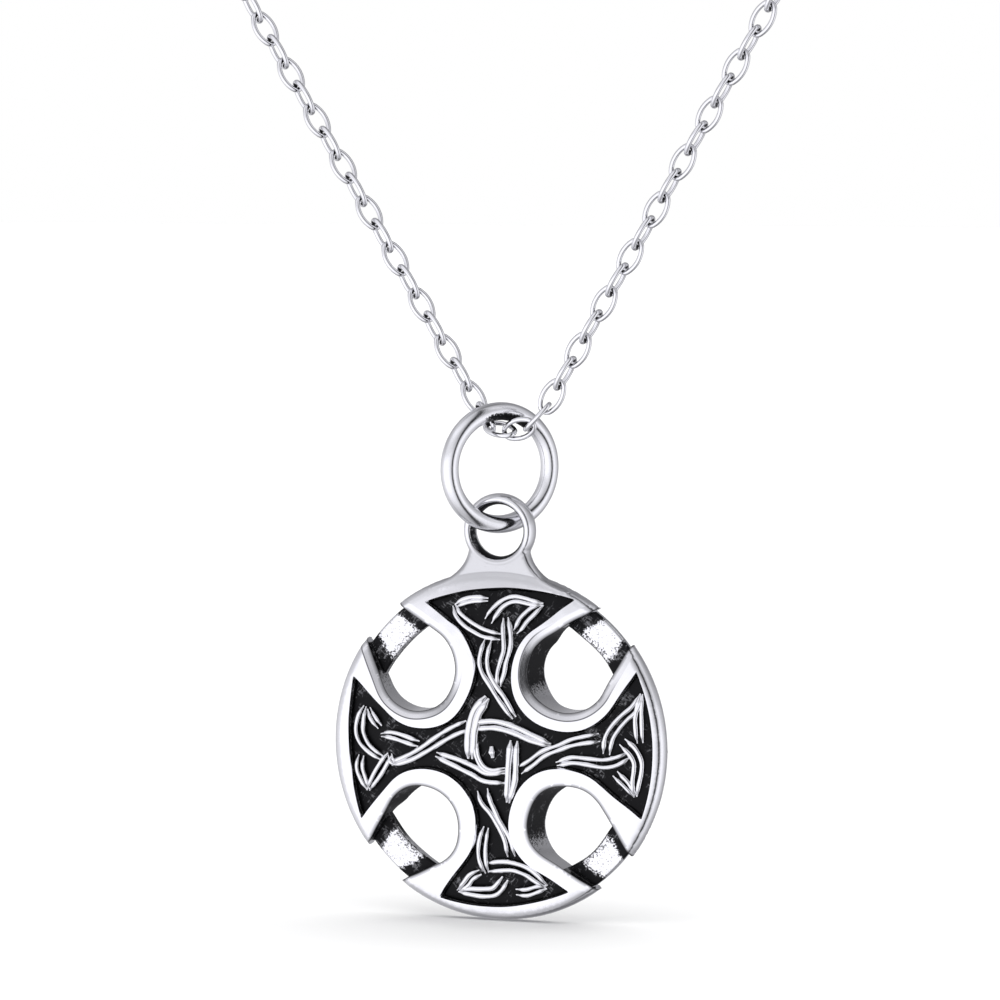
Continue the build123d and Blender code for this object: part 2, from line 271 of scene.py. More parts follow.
MIDDLE_STRAPS = [
    (1.9, [(-0.35, 3.59, 0.3), (-1.1, 2.52, 0.45), (-1.45, 1.32, 0.45), (-1.55, 0.11, 0.45),
           (-1.6, -0.84, 0.3)]),
    (1.3, [(-1.3, 1.52, 0.45), (0.3, 1.66, 0.5), (1.75, 1.34, 0.45), (3.05, 0.82, 0.4),
           (4.4, 0.36, 0.15)]),
    (1.5, [(1.7, 0.59, 0.5), (1.6, -0.86, 0.55), (1.5, -2.26, 0.55), (1.2, -3.87, 0.2)]),
    (1.2, [(-4.25, -0.65, 0.3), (-2.65, -1.16, 0.55), (-1.35, -1.68, 0.6), (-0.45, -2.11, 0.6),
           (1.0, -2.13, 0.7)]),
    (0.8, [(-1.15, 0.47, 0.2), (-1.05, -0.58, 0.2), (-0.6, -1.36, 0.2), (0.1, -1.65, 0.2),
           (1.1, -1.47, 0.2)]),
    (1.5, [(0.0, 0.1, 0.1), (0.05, -0.3, 0.15), (0.1, -0.7, 0.1)]),
]

# How deep the straps lie below the dome and at their ends, and how their ridges swell and thin
STRAP_DEPTH = 0.2
STRAP_SINK = 0.22
STRAP_TAPER = 0.6
STRAP_STEP = 0.12
RIDGE_STEP = 0.1
RIDGE_SIZE = 1.08
RIDGE_UNEVEN = 0.3
RIDGE_UNEVEN_SCALE = 1.2
RIDGE_SEED = 4.0
RIDGE_TAPER = 0.6
RIDGE_SINK = 0.05
RIDGE_DARK = 0.55

# Patterns in the metal: noise scales for each metre, and how much each noise counts
WANDER_SCALE = 1100
SCRATCH_SCALE = 5200
SCRATCH_HEIGHT = 0.2
CLOUD_SCALE = 420
CLOUD_HEIGHT = 0.8
PATCH_SCALE = 900
PATCH_SHARE = 0.7
STREAK_LEANS = (0.6, -0.9)
STREAK_SHAPE = (2.6, 1, 0.7)
SPECK_RANGE = (0.66, 0.8)

# Finishes: height of the bumps in metres, shares of the silver's and the specks' colours,
# and how much rougher and less metallic the black is
POLISHED_BUMP = 0.00004
ANTIQUED_BUMP = 0.00005
CLOUD_TINT = 0.94
SPECK_TINT = 0.36
BLACK_ROUGHER = 0.35
BLACK_DULLER = 0.3

# Camera: where it stands round the pendant and what it takes in
CAMERA_AZIMUTH = 20.0
CAMERA_ELEVATION = 4.0
CAMERA_LENS = 180.0
CAMERA_NEAR = 0.01
SENSOR = 36.0
VIEW_WIDTH = 71.0
VIEW_ABOVE_DISC = 17.5

# Studio: the floor's half width in metres, its grey and its roughness, the tint of what the
# metal mirrors, and the wide light from above
FLOOR_REACH = 3.0
FLOOR_GREY = (0.9, 0.9, 0.9, 1)
FLOOR_ROUGHNESS = 0.9
STUDIO_TINT = (0.985, 0.985, 1.01)
OVERHEAD_WIDTH = math.radians(100)
OVERHEAD_TURN = (math.radians(-4), math.radians(2), 0)

# What the silver mirrors: brightness by side, in degrees from where the disc's face looks,
# and a share of it by height, from -1 straight down to 1 straight up
SIDE_BANDS = [
    (-180, 0.36), (-130, 0.5), (-90, 0.72), (-52, 0.9), (-34, 1.25), (0, 1.3), (25, 1.2),
    (48, 0.95), (62, 0.6), (68, 0.04), (80, 0.04), (86, 0.8), (105, 1.15), (140, 0.75),
    (180, 0.36),
]
HEIGHT_BANDS = [
    (-1, 0.4), (-0.85, 0.5), (-0.65, 0.8), (-0.4, 1.0), (0.0, 0.98), (0.16, 0.9), (0.3, 0.68),
    (0.5, 0.66), (0.75, 0.8), (1, 0.5),
]


class DiscSizes(bpy.types.PropertyGroup):
    """Sizes of the disc's relief, in millimetres."""

    recess_depth: FloatProperty(
        name="Recess depth", description="How far the dark floor lies below the face",
        default=0.55)
    bevel_width: FloatProperty(
        name="Bevel width", description="Width of the slope round each hole", default=0.55)
    bevel_depth: FloatProperty(
        name="Bevel depth", description="How far that slope falls to the hole", default=0.34)
    ridge_radius: FloatProperty(
        name="Ridge radius", description="Radius of each of a strap's two ridges", default=0.16)
    ridge_sides: IntProperty(
        name="Ridge sides", description="Sides of a ridge's round section", default=10)
    ridge_wander: FloatProperty(
        name="Ridge wander", description="How far a ridge strays from its line", default=0.04)
    grid_step: FloatProperty(
        name="Grid step", description="Spacing of the points on the face", default=0.18)


class ChainSizes(bpy.types.PropertyGroup):
    """Sizes of the chain's links, in millimetres."""

    wire: FloatProperty(name="Wire", description="Thickness of a link's wire", default=0.36)
    wire_sides: IntProperty(name="Wire sides", description="Sides of a link's wire", default=10)
    line_steps: IntProperty(name="Line steps", description="Steps along a link's line", default=36)


class FinishColours(bpy.types.PropertyGroup):
    """Colours of the metal."""

    silver: FloatVectorProperty(
        name="Silver", description="Polished silver", subtype="COLOR", size=3,
        default=(0.93, 0.93, 0.95))
    worn: FloatVectorProperty(
        name="Worn silver", description="Duller silver beside the oxide", subtype="COLOR", size=3,
        default=(0.62, 0.62, 0.65))
    oxide: FloatVectorProperty(
        name="Oxide", description="Blackened silver", subtype="COLOR", size=3,
        default=(0.006, 0.006, 0.007))


class StudioSettings(bpy.types.PropertyGroup):
    """Light and floor of the plain studio."""

    floor_gap: FloatProperty(
        name="Floor gap", description="Floor below the disc, in millimetres", default=0.03)
    world_strength: FloatProperty(
        name="World strength", description="Brightness of the soft light all round", default=0.2)
    overhead: FloatProperty(
        name="Overhead", description="Strength of the light from above", default=3.35)


# Shapes of the face
def in_frame(points):
    """Points in millimetres from the disc's middle, put in the frame's metres."""
    return np.asarray(points, float) * MM + np.array(CENTRE)


def smooth(low, high, value):
    """0 below low, 1 above high, with level ends."""
    t = np.clip((value - low) / (high - low), 0, 1)
    return t * t * (3 - 2 * t)


def rounding(distance, radius):
    """Fall of a rounded edge at a distance inside it."""
    part = np.clip(distance / radius, 0, 1)
    return radius * (1 - np.sqrt(1 - (1 - part)**2))


def dome_depth(radius):
    """Depth of the domed face at a radius from its middle."""
    return DOME_CENTRE_Y - np.sqrt(DOME_RADIUS**2 - radius**2)


def swell(eye, neck):
    """Half the thickness of the eye's loop and of the neck."""
    section = np.clip((eye - EYE_RADIUS) / EYE_HALF_WALL, -1, 1)
    part = np.clip(neck / NECK_ROUNDING, 0, 1)
    loop = EYE_HALF_DEPTH * np.sqrt(1 - section**2)
    return loop, NECK_HALF_DEPTH * np.sqrt(1 - (1 - part)**2)


def with_depth(points, depth):
    """Flat points with a depth at each."""
    return np.column_stack([points[:, 0], depth, points[:, 1]])


def point_noise(points, scale, seed):
    """Smooth noise at flat points, from -1 to 1."""
    return np.array([noise.noise(Vector((x * scale, z * scale, seed))) for x, z in points])


def nearer(a, b, reach):
    """The more forward of two depths, blended over a short reach."""
    mix = np.clip(0.5 + 0.5 * (b - a) / reach, 0, 1)
    return b * (1 - mix) + a * mix - reach * mix * (1 - mix)


class Drop:
    """Round outline whose two sides run on, straight, to given points."""

    def __init__(self, way_out, centre, radius, ends):
        angle = math.radians(way_out)
        self.u = np.array([math.cos(angle), math.sin(angle)])
        self.v = np.array([-self.u[1], self.u[0]])
        self.centre = np.array(centre)
        self.radius = radius
        self.tangents = []
        for side, end in zip((1, -1), ends):
            gap = np.array(end) - self.centre
            lean = math.atan2(side * (gap @ self.v), gap @ self.u)
            self.tangents.append(lean + math.acos(radius / np.hypot(*gap)))

    def distance(self, points):
        """Distance outside the outline, negative within."""
        gap = points - self.centre
        u = gap @ self.u
        v = gap @ self.v
        tangent = np.where(v >= 0, *self.tangents)
        along = u * np.sin(tangent) - np.abs(v) * np.cos(tangent)
        across = u * np.cos(tangent) + np.abs(v) * np.sin(tangent)
        return np.where(along > 0, across, np.hypot(u, v)) - self.radius

    def line(self, grow, step, reach):
        """The outline moved outwards by grow, as points from one far end to the other."""
        radius = self.radius + grow
        first, last = self.tangents
        turn = 2 * math.pi - first - last
        angles = first + turn * np.linspace(0, 1, int(turn * radius / step) + 1)
        arc = radius * np.column_stack([np.cos(angles), np.sin(angles)])
        out = np.arange(step, reach, step)[:, None]
        start = arc[0] + out[::-1] * [math.sin(first), -math.cos(first)]
        end = arc[-1] + out * [math.sin(last), math.cos(last)]
        local = np.vstack([start, arc, end])
        return self.centre + local[:, :1] * self.u + local[:, 1:] * self.v


def gap_outlines():
    """Outline of each hole and of the border round it."""
    holes = []
    borders = []
    for way_out, centre, radius, border_centre, border_radius, first, last in GAPS:
        angle = math.radians(way_out)
        out = np.array([math.cos(angle), math.sin(angle)])
        side = np.array([-out[1], out[0]])
        ends = [MOUTH_REACH * out + turn * MOUTH_HALF * side for turn in (1, -1)]
        holes.append(Drop(way_out, centre, radius, ends))
        borders.append(Drop(way_out, border_centre, border_radius, sorted_ends(first, last, side)))
    return holes, borders


def sorted_ends(first, last, side):
    """Two corner points, the one further along side first."""
    return sorted((first, last), key=lambda point: -(np.array(point) @ side))


def bezier(points, count):
    """Points along a cubic Bezier curve."""
    t = np.linspace(0, 1, count)[:, None]
    a, b, c, d = (np.array(point) for point in points)
    return a * (1 - t)**3 + 3 * b * t * (1 - t)**2 + 3 * c * t**2 * (1 - t) + d * t**3


def circle_line(centre, radius, step):
    """Closed ring of points."""
    count = int(2 * math.pi * radius / step) + 1
    angles = np.linspace(0, 2 * math.pi, count)
    return np.array(centre) + radius * np.column_stack([np.cos(angles), np.sin(angles)])


def eye_lines(shares, step):
    """Rings round the eye, at shares of its half wall from its middle line."""
    return [
        circle_line((0, EYE_HEIGHT), EYE_RADIUS + share * EYE_HALF_WALL, step)
        for share in shares
    ]


class Casting:
    """Front and back of the one-piece disc, neck and eye, as depths over its upright plane."""

    def __init__(self, sizes):
        self.sizes = sizes
        self.holes, self.borders = gap_outlines()
        self.neck = bezier(NECK_SIDE, NECK_STEPS)

    def measures(self, points):
        """How far each point is from the edges that shape the casting."""
        x, z = points.T
        r = np.hypot(x, z)
        hole = np.min([drop.distance(points) for drop in self.holes], axis=0)
        border = np.min([drop.distance(points) for drop in self.borders], axis=0)
        arm = np.where(np.abs(z) > np.abs(x), np.where(z > 0, 0, 2), np.where(x > 0, 1, 3))
        ends = np.array(ARM_ENDS)[arm]
        recess = np.minimum(ends[:, 2] - np.hypot(*(points - ends[:, :2]).T), border)
        eye = np.hypot(x, z - EYE_HEIGHT)
        half = np.interp(z, self.neck[:, 1], self.neck[:, 0], left=-1, right=-1)
        neck = np.minimum(half - np.abs(x), z - self.neck[0, 1] + NECK_FOOT)
        return r, hole, recess, eye, neck

    def around(self, points):
        """Nearest hole of each point, and the way to the point from that hole's middle."""
        middles = np.array([drop.centre for drop in self.holes])
        away = points[:, None, :] - middles
        near = np.argmin(np.hypot(away[:, :, 0], away[:, :, 1]), axis=1)
        way = away[np.arange(len(points)), near]
        return near, way / np.maximum(np.hypot(*way.T), LEAST_LENGTH)[:, None]

    def slope_share(self, points):
        """How much of the slope round a hole each point has: most of it below and to the left."""
        near, way = self.around(points)
        low = smooth(*SLOPE_TURN, way @ SLOPE_WAY)
        return np.array(SLOPE_SHARE)[near] * (SLOPE_LEAST + (1 - SLOPE_LEAST) * low)

    def is_metal(self, points):
        """True where the casting is, seen from the front."""
        r, hole, _, eye, neck = self.measures(points)
        disc = (r < DISC_RADIUS) & ((hole > 0) | ((r > RING_INNER) & (r < RING_OUTER)))
        top = (neck > 0) | (eye < EYE_RADIUS + EYE_HALF_WALL)
        return (disc | top) & (eye > EYE_RADIUS - EYE_HALF_WALL)

    def front(self, points):
        """Depth of the front."""
        sizes = self.sizes
        r, hole, recess, eye, neck = self.measures(points)
        inside = np.minimum(r, DISC_RADIUS)
        face = dome_depth(inside) + rounding(DISC_RADIUS - inside, RIM_ROUNDING)
        slope = sizes.bevel_depth * self.slope_share(points)
        face = face + slope * np.clip(1 - hole / sizes.bevel_width, 0, 1)
        face = face + sizes.recess_depth * smooth(*RECESS_WALL, recess)
        ring = RING_FRONT + rounding(r - RING_INNER, RING_ROUNDING)
        ring = ring + rounding(RING_OUTER - r, RING_ROUNDING)
        disc = ring + (face - ring) * smooth(-HOLE_WALL, 0, hole)
        disc = np.where(r < DISC_RADIUS, disc, BEHIND_ALL)
        loop, stem = swell(eye, neck)
        top = nearer(-loop, -stem, EYE_BLEND)
        depth = np.where(r < DISC_RADIUS, disc, top)
        depth = np.where(neck > 0, nearer(disc, top, NECK_BLEND), depth)
        well_inside = (r < DISC_RADIUS) & (points[:, 1] <= DISC_RADIUS - NECK_REACH)
        depth = np.where(well_inside, disc, depth)
        return np.where(eye < EYE_RADIUS, -loop, depth)

    def back(self, points):
        """Depth of the back."""
        r, hole, _, eye, neck = self.measures(points)
        fall = rounding(DISC_RADIUS - np.minimum(r, DISC_RADIUS), RIM_ROUNDING)
        disc = HALF_RIM - np.where(hole < 0, rounding(RING_OUTER - r, RING_ROUNDING), fall)
        loop, stem = swell(eye, neck)
        top = np.maximum(loop, stem)
        joined = np.where(neck > 0, np.maximum(disc, top), disc)
        depth = np.where(r < DISC_RADIUS, joined, top)
        return np.where(eye < EYE_RADIUS, loop, depth)

    def oxide(self, points):
        """How dark the front is, from 0 to 1: oxide on the recess floor and the ring segments, and
        painted shade near the arm walls, inside the eye and on the neck below it.
        """
        r, hole, recess, eye, neck = self.measures(points)
        # Oxide on the ring segments, with painted shade darkening them towards the arm walls
        ring = RING_DARK + RING_DARK_BY_ARM * smooth(*RING_DARK_REACH, hole)
        ring = ring + RING_DARK_INSIDE * (r < RING_INNER + RING_INSIDE_REACH)
        # Painted shade on the neck below the eye, and painted black inside the eye
        below = smooth(*NECK_SHADE_BELOW, EYE_HEIGHT - points[:, 1]) * (neck > 0)
        beside = smooth(*NECK_SHADE_BESIDE, eye - EYE_RADIUS - EYE_HALF_WALL)
        return np.max([
            smooth(*FLOOR_DARK_REACH, recess),
            np.where(hole < FACE_EDGE, ring, 0),
            np.where(eye < EYE_RADIUS - EYE_SHADE_REACH, 1, 0),
            NECK_SHADE * below * (1 - beside),
        ], axis=0)

    def tone(self, points):
        """Painted shade and painted reflection on the front where it stays bright: grey on the
        bevels, a dark line along their edges, and grey at the disc's top and the neck.
        """
        _, hole, recess, _, _ = self.measures(points)
        width = self.sizes.bevel_width
        slope_places = (
            EDGE_ROUNDING, 2 * EDGE_ROUNDING, width - HOLE_WALL, width, width + HOLE_WALL)
        slope = np.interp(hole, slope_places, SLOPE_PAINTED_SHADE)
        slope = slope * smooth(*SLOPE_PAINTED_SHADE_SHARE, self.slope_share(points))
        line = np.maximum(np.interp(hole, *EDGE_PAINTED_SHADE), slope)
        top = TOP_PAINTED_SHADE * smooth(DISC_RADIUS - TOP_PAINTED_SHADE_REACH, DISC_RADIUS, points[:, 1])
        start, end = (EYE_HEIGHT - reach for reach in TOP_PAINTED_SHADE_END)
        top = top * (1 - smooth(start, end, points[:, 1]))
        return np.where((recess < 0) & (hole > FACE_EDGE), np.maximum(line, top), top)

    def wall_painted_shade(self, points):
        """Painted shade on the walls of the holes: dark above, paler below."""
        near, way = self.around(points)
        high = smooth(*WALL_SHADE_TURN, way[:, 1])
        return WALL_SHADE_LOW + WALL_SHADE_MORE * high * np.array(WALL_SHADE)[near]

    def leaned(self, points):
        """Points of the back, moved in over the holes where the walls lean."""
        r, hole, _, _, _ = self.measures(points)
        near, way = self.around(points)
        side = smooth(*LEAN_TURN, way @ [math.cos(LEAN_WAY), math.sin(LEAN_WAY)])
        reach = np.array(WALL_LEAN)[near] * side * (1 - smooth(0, LEAN_REACH, hole))
        reach = reach * smooth(0, LEAN_FADE, RING_INNER - r)
        return points - reach[:, None] * way

    def calm(self, points):
        """1 where the surface may ripple, 0 on the eye and the neck."""
        _, _, _, eye, neck = self.measures(points)
        return np.where((eye < EYE_RADIUS + EYE_CALM) | (neck > 0), 0, 1)

    def edge_lines(self):
        """Lines that the front's points follow, so that each edge stays crisp."""
        width = self.sizes.bevel_width
        lines = [circle_line((0, 0), DISC_RADIUS - inset, LINE_STEP) for inset in RIM_LINES]
        edge = (-HOLE_WALL, 0, EDGE_ROUNDING)
        slope = (0.5 * width, width - HOLE_WALL, width, width + HOLE_WALL)
        for drop in self.holes:
            lines += [drop.line(grow, LINE_STEP, HOLE_LINE_REACH) for grow in edge + slope]
        for drop in self.borders:
            for grow in RECESS_LINES:
                lines.append(self.kept(drop.line(grow, LINE_STEP, RECESS_LINE_REACH), grow))
        for x, z, radius in ARM_ENDS:
            for inset in RECESS_LINES:
                lines.append(self.kept(circle_line((x, z), radius - inset, LINE_STEP), inset))
        radii = [RING_INNER + inset for inset in RING_LINES]
        radii += [RING_OUTER - inset for inset in reversed(RING_LINES)]
        for radius in radii:
            lines.append(self.kept_in_mouth(circle_line((0, 0), radius, LINE_STEP)))
        lines += eye_lines(EYE_LINES, LINE_STEP)
        for side in (1, -1):
            lines += [(self.neck - [inset, 0]) * [side, 1] for inset in NECK_LINES]
        return lines

    def back_lines(self):
        """Lines that the back's points follow."""
        lines = eye_lines(BACK_EYE_LINES, BACK_EYE_STEP)
        for inset in BACK_RIM_LINES:
            lines.append(circle_line((0, 0), DISC_RADIUS - inset, BACK_LINE_STEP))
        return lines

    def kept(self, line, inset):
        """A line of the recess with the points off its own edge marked as left out."""
        recess = self.measures(line)[2]
        return np.where(np.abs(recess - inset)[:, None] < LINE_MISS, line, np.nan)

    def kept_in_mouth(self, line):
        """A line of the ring with the points outside the mouths marked as left out."""
        hole = self.measures(line)[1]
        return np.where(hole[:, None] < RING_LINE_MARGIN, line, np.nan)


# Meshes
def point_tree(points):
    """Search tree over flat points."""
    tree = kdtree.KDTree(len(points))
    for index, (x, z) in enumerate(points):
        tree.insert((x, z, 0), index)
    tree.balance()
    return tree


def joined_lines(lines):
    """Points of all lines, and the edges between points that follow each other unbroken."""
    coords = []
    edges = []
    for line in lines:
        whole = ~np.isnan(line[:, 0])
        number = len(coords) + np.cumsum(whole) - 1
        linked = whole[:-1] & whole[1:]
        edges += np.column_stack([number[:-1], number[1:]])[linked].tolist()
        coords += list(line[whole])
    return coords, edges


def flat_mesh(casting, lines, grid_step):
    """Triangles over the casting's plane that follow the lines and keep its outline."""
    coords, edges = joined_lines(lines)
    tree = point_tree(coords)
    reach = DISC_RADIUS + GRID_MARGIN
    top = EYE_HEIGHT + EYE_RADIUS + EYE_HALF_WALL
    rows = np.arange(-reach, top, grid_step * ROW_GAP)
    columns = np.arange(-reach, reach, grid_step)
    for number, z in enumerate(rows):
        shift = grid_step / 2 * (number % 2)
        points = np.column_stack([columns + shift, np.full(len(columns), z)])
        for point in points[casting.is_metal(points)]:
            if tree.find((*point, 0))[2] > GRID_GAP * grid_step:
                coords.append(point)
    flat = [Vector((float(x), float(z))) for x, z in coords]
    verts, _, faces, _, _, _ = delaunay_2d_cdt(flat, edges, [], 0, MERGE_REACH, False)
    verts = np.array([tuple(v) for v in verts])
    faces = np.array([tuple(f) for f in faces if len(f) == 3])
    a, b, c = (verts[faces[:, corner]] for corner in range(3))
    area = np.cross(b - a, c - a)
    middles = verts[faces].mean(axis=1)
    faces = np.where(area[:, None] > 0, faces, faces[:, ::-1])
    faces = faces[casting.is_metal(middles) & (np.abs(area) > LEAST_AREA)]
    used, faces = np.unique(faces, return_inverse=True)
    return verts[used], faces.reshape(-1, 3)


def outline_edges(faces):
    """Directed edges that only one face has."""
    edges = np.vstack([faces[:, [0, 1]], faces[:, [1, 2]], faces[:, [2, 0]]])
    low = np.sort(edges, axis=1)
    _, place, count = np.unique(low, axis=0, return_inverse=True, return_counts=True)
    return edges[count[place.ravel()] == 1]


def hand_drift(points):
    """Points strayed as on a hand-finished outline, but not at the silhouette."""
    scale, seeds = DRIFT_NOISE
    drift = np.column_stack([point_noise(points, scale, seed) for seed in seeds])
    start, end = (DISC_RADIUS - reach for reach in DRIFT_FADE)
    calm = 1 - smooth(start, end, np.hypot(*points.T))
    return points + DRIFT * drift * calm[:, None]


def casting_mesh(sizes):
    """Vertices, faces, darkness (oxide and painted shade) and painted grey shade of the whole
    casting.
    """
    casting = Casting(sizes)
    flat, faces = flat_mesh(casting, casting.edge_lines(), sizes.grid_step)
    rim = outline_edges(faces)
    back_lines = [*casting.back_lines(), *flat[rim]]
    back_flat, back_faces = flat_mesh(casting, back_lines, BACK_GRID * sizes.grid_step)

    # Both faces, a little uneven
    ripple = FRONT_RIPPLE * point_noise(flat, *FRONT_RIPPLE_NOISE)
    front = with_depth(hand_drift(flat), casting.front(flat) + ripple * casting.calm(flat))
    ripple = BACK_RIPPLE * np.abs(point_noise(back_flat, *BACK_RIPPLE_NOISE))
    depth = casting.back(back_flat) - ripple * casting.calm(back_flat)
    back = with_depth(casting.leaned(hand_drift(back_flat)), depth)

    # Walls down from the front's outline to the back's
    rim_points = np.unique(rim)
    rim_flat = flat[rim_points]
    tree = point_tree(back_flat)
    partners = np.array([tree.find((*point, 0))[1] for point in rim_flat])
    top = front[rim_points][:, None]
    bottom = back[partners][:, None]
    walls = top + (bottom - top) * np.array(WALL_LEVELS)[:, None]
    # Painted shade on the walls of the holes and the eye: darker above, paler below, with painted
    # grey
    r, _, _, eye, _ = casting.measures(rim_flat)
    inner = (r < RING_INNER + WALL_MARGIN) | (eye < EYE_RADIUS)
    dark = casting.wall_painted_shade(rim_flat)
    tone = WALL_PAINTED_GREY * (dark - WALL_PAINTED_GREY_START)
    wall_painted_shade, wall_painted_grey = (
        np.repeat(np.where(inner, values, 0), len(WALL_LEVELS)) for values in (dark, tone))
    plain = np.zeros(len(back))

    # Faces of the walls, between columns of points
    start = len(flat) + len(wall_painted_shade)
    numbers = len(flat) + np.arange(len(wall_painted_shade)).reshape(len(rim_points), -1)
    columns = np.column_stack([rim_points, numbers, start + partners])
    one = columns[np.searchsorted(rim_points, rim[:, 0])]
    other = columns[np.searchsorted(rim_points, rim[:, 1])]
    quads = np.stack([other[:, :-1], one[:, :-1], one[:, 1:], other[:, 1:]], axis=2)
    return (
        np.vstack([front, walls.reshape(-1, 3), back]),
        [*faces, *(start + back_faces[:, ::-1]), *quads.reshape(-1, 4)],
        np.r_[casting.oxide(flat), wall_painted_shade, plain],
        np.r_[casting.tone(flat), wall_painted_grey, plain],
    )


def add_object(name, data):
    """An object in the scene."""
    thing = bpy.data.objects.new(name, data)
    bpy.context.scene.collection.objects.link(thing)
    return thing


def keep_values(mesh, **layers):
    """Keep a number or a vector for each point of a mesh, as attributes."""
    for label, values in layers.items():
        values = np.asarray(values, np.float32)
        kind, field = ("FLOAT", "value") if values.ndim == 1 else ("FLOAT_VECTOR", "vector")
        mesh.attributes.new(label, kind, "POINT").data.foreach_set(field, values.ravel())


def read_rows(items, label, width, kind):
    """Values of a mesh's vertices or corners, as rows of three."""
    values = np.zeros(len(items) * width, kind)
    items.foreach_get(label, values)
    return values.reshape(-1, 3)


def add_mesh(name, verts, faces, **layers):
    """A mesh object in the scene, with values of its points kept as attributes."""
    mesh = bpy.data.meshes.new(name)
    mesh.from_pydata([tuple(v) for v in verts], [], [tuple(int(i) for i in f) for f in faces])
    keep_values(mesh, **layers)
    mesh.validate()
    mesh.update()
    return add_object(name, mesh)


def shade(thing, angle):
    """Smooth shading with edges sharper than the angle kept crisp."""
    mesh = thing.data
    mesh.shade_smooth()
    mesh.set_sharp_from_angle(angle=math.radians(angle))


def finish_piece(thing, body, slot, material, *nodes):
    """Give a piece its material, body and the solids that it stands for."""
    if material is not None:
        thing.data.materials.clear()
        thing.data.materials.append(material)
    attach(thing, body)
    if nodes:
        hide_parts(*nodes)


# Node trees
def new_group(name, kind, inputs, outputs):
    """A node group with named inputs and outputs, its given values and its last node."""
    group = bpy.data.node_groups.new(name, kind)
    for label, socket, value in inputs:
        item = group.interface.new_socket(label, in_out="INPUT", socket_type=socket)
        if value is not None:
            item.default_value = value
    for label, socket in outputs:
        group.interface.new_socket(label, in_out="OUTPUT", socket_type=socket)
    given = group.nodes.new("NodeGroupInput").outputs
    return group, given, group.nodes.new("NodeGroupOutput")


def set_inputs(tree, node, values):
    """Set inputs of a node, each to a value or to another node's socket."""
    for label, value in values.items():
        if isinstance(value, bpy.types.NodeSocket):
            tree.links.new(value, node.inputs[label])
        else:
            node.inputs[label].default_value = value


def add_node(tree, kind, inputs=None, **settings):
    """A node with its settings and its inputs."""
    node = tree.nodes.new(kind)
    for label, value in settings.items():
        setattr(node, label, value)
    set_inputs(tree, node, inputs or {})
    return node


def math_node(tree, operation, *values):
    """Result of a maths operation on numbers or sockets."""
    inputs = dict(enumerate(values))
    return add_node(tree, "ShaderNodeMath", inputs, operation=operation).outputs[0]


def vector_node(tree, operation, first, second, result="Vector"):
    """Result of a vector operation, where a scaling takes a number second."""
    inputs = {0: first, "Scale" if operation == "SCALE" else 1: second}
    return add_node(tree, "ShaderNodeVectorMath", inputs, operation=operation).outputs[result]


def grown(thing, name, tree, values):
    """What a node tree makes of an object, as a plain smooth mesh object in its place."""
    modifier = thing.modifiers.new("nodes", "NODES")
    modifier.node_group = tree
    sockets = {
        item.name: item.identifier for item in tree.interface.items_tree
        if item.item_type == "SOCKET" and item.in_out == "INPUT"
    }
    for label, value in values.items():
        modifier[sockets[label]] = value
    graph = bpy.context.evaluated_depsgraph_get()
    mesh = bpy.data.meshes.new_from_object(
        thing.evaluated_get(graph), preserve_all_data_layers=True, depsgraph=graph)
    mesh.shade_smooth()
    bpy.data.objects.remove(thing)
    return add_object(name, mesh)


def end_tree(tree, geometry, material, leave):
    """Make instances real, give them their material and hand them out."""
    real = add_node(tree, "GeometryNodeRealizeInstances", {0: geometry})
    coat = add_node(tree, "GeometryNodeSetMaterial", {
        "Geometry": real.outputs[0], "Material": material})
    set_inputs(tree, leave, {0: coat.outputs[0]})


def ridge_tree():
    """Geometry nodes that sweep a round ridge of changing thickness along each line."""
    tree, given, leave = new_group("knot_ridges", "GeometryNodeTree", [
        ("Lines", "NodeSocketGeometry", None),
        ("Sides", "NodeSocketInt", 10),
        ("Step", "NodeSocketFloat", 0.0001),
        ("Wander", "NodeSocketFloat", 0.00004),
        ("Material", "NodeSocketMaterial", None),
    ], [("Geometry", "NodeSocketGeometry")])
    even = add_node(tree, "GeometryNodeResampleCurve", {
        "Curve": given["Lines"], "Length": given["Step"]}, mode="LENGTH")
    place = add_node(tree, "GeometryNodeInputPosition").outputs[0]
    wave = add_node(tree, "ShaderNodeTexNoise", {
        "Vector": place, "Scale": WANDER_SCALE, "Detail": 2})
    centred = vector_node(tree, "SUBTRACT", wave.outputs["Color"], (0.5, 0.5, 0.5))
    move = add_node(tree, "GeometryNodeSetPosition", {
        "Geometry": even.outputs["Curve"],
        "Offset": vector_node(tree, "SCALE", centred, given["Wander"]),
    })
    circle = add_node(tree, "GeometryNodeCurvePrimitiveCircle", {
        "Resolution": given["Sides"], "Radius": 1.0})
    sweep = add_node(tree, "GeometryNodeCurveToMesh", {
        "Curve": move.outputs["Geometry"],
        "Profile Curve": circle.outputs["Curve"],
        "Scale": add_node(tree, "GeometryNodeInputRadius").outputs[0],
        "Fill Caps": True,
    })
    end_tree(tree, sweep.outputs["Mesh"], given["Material"], leave)
    return tree


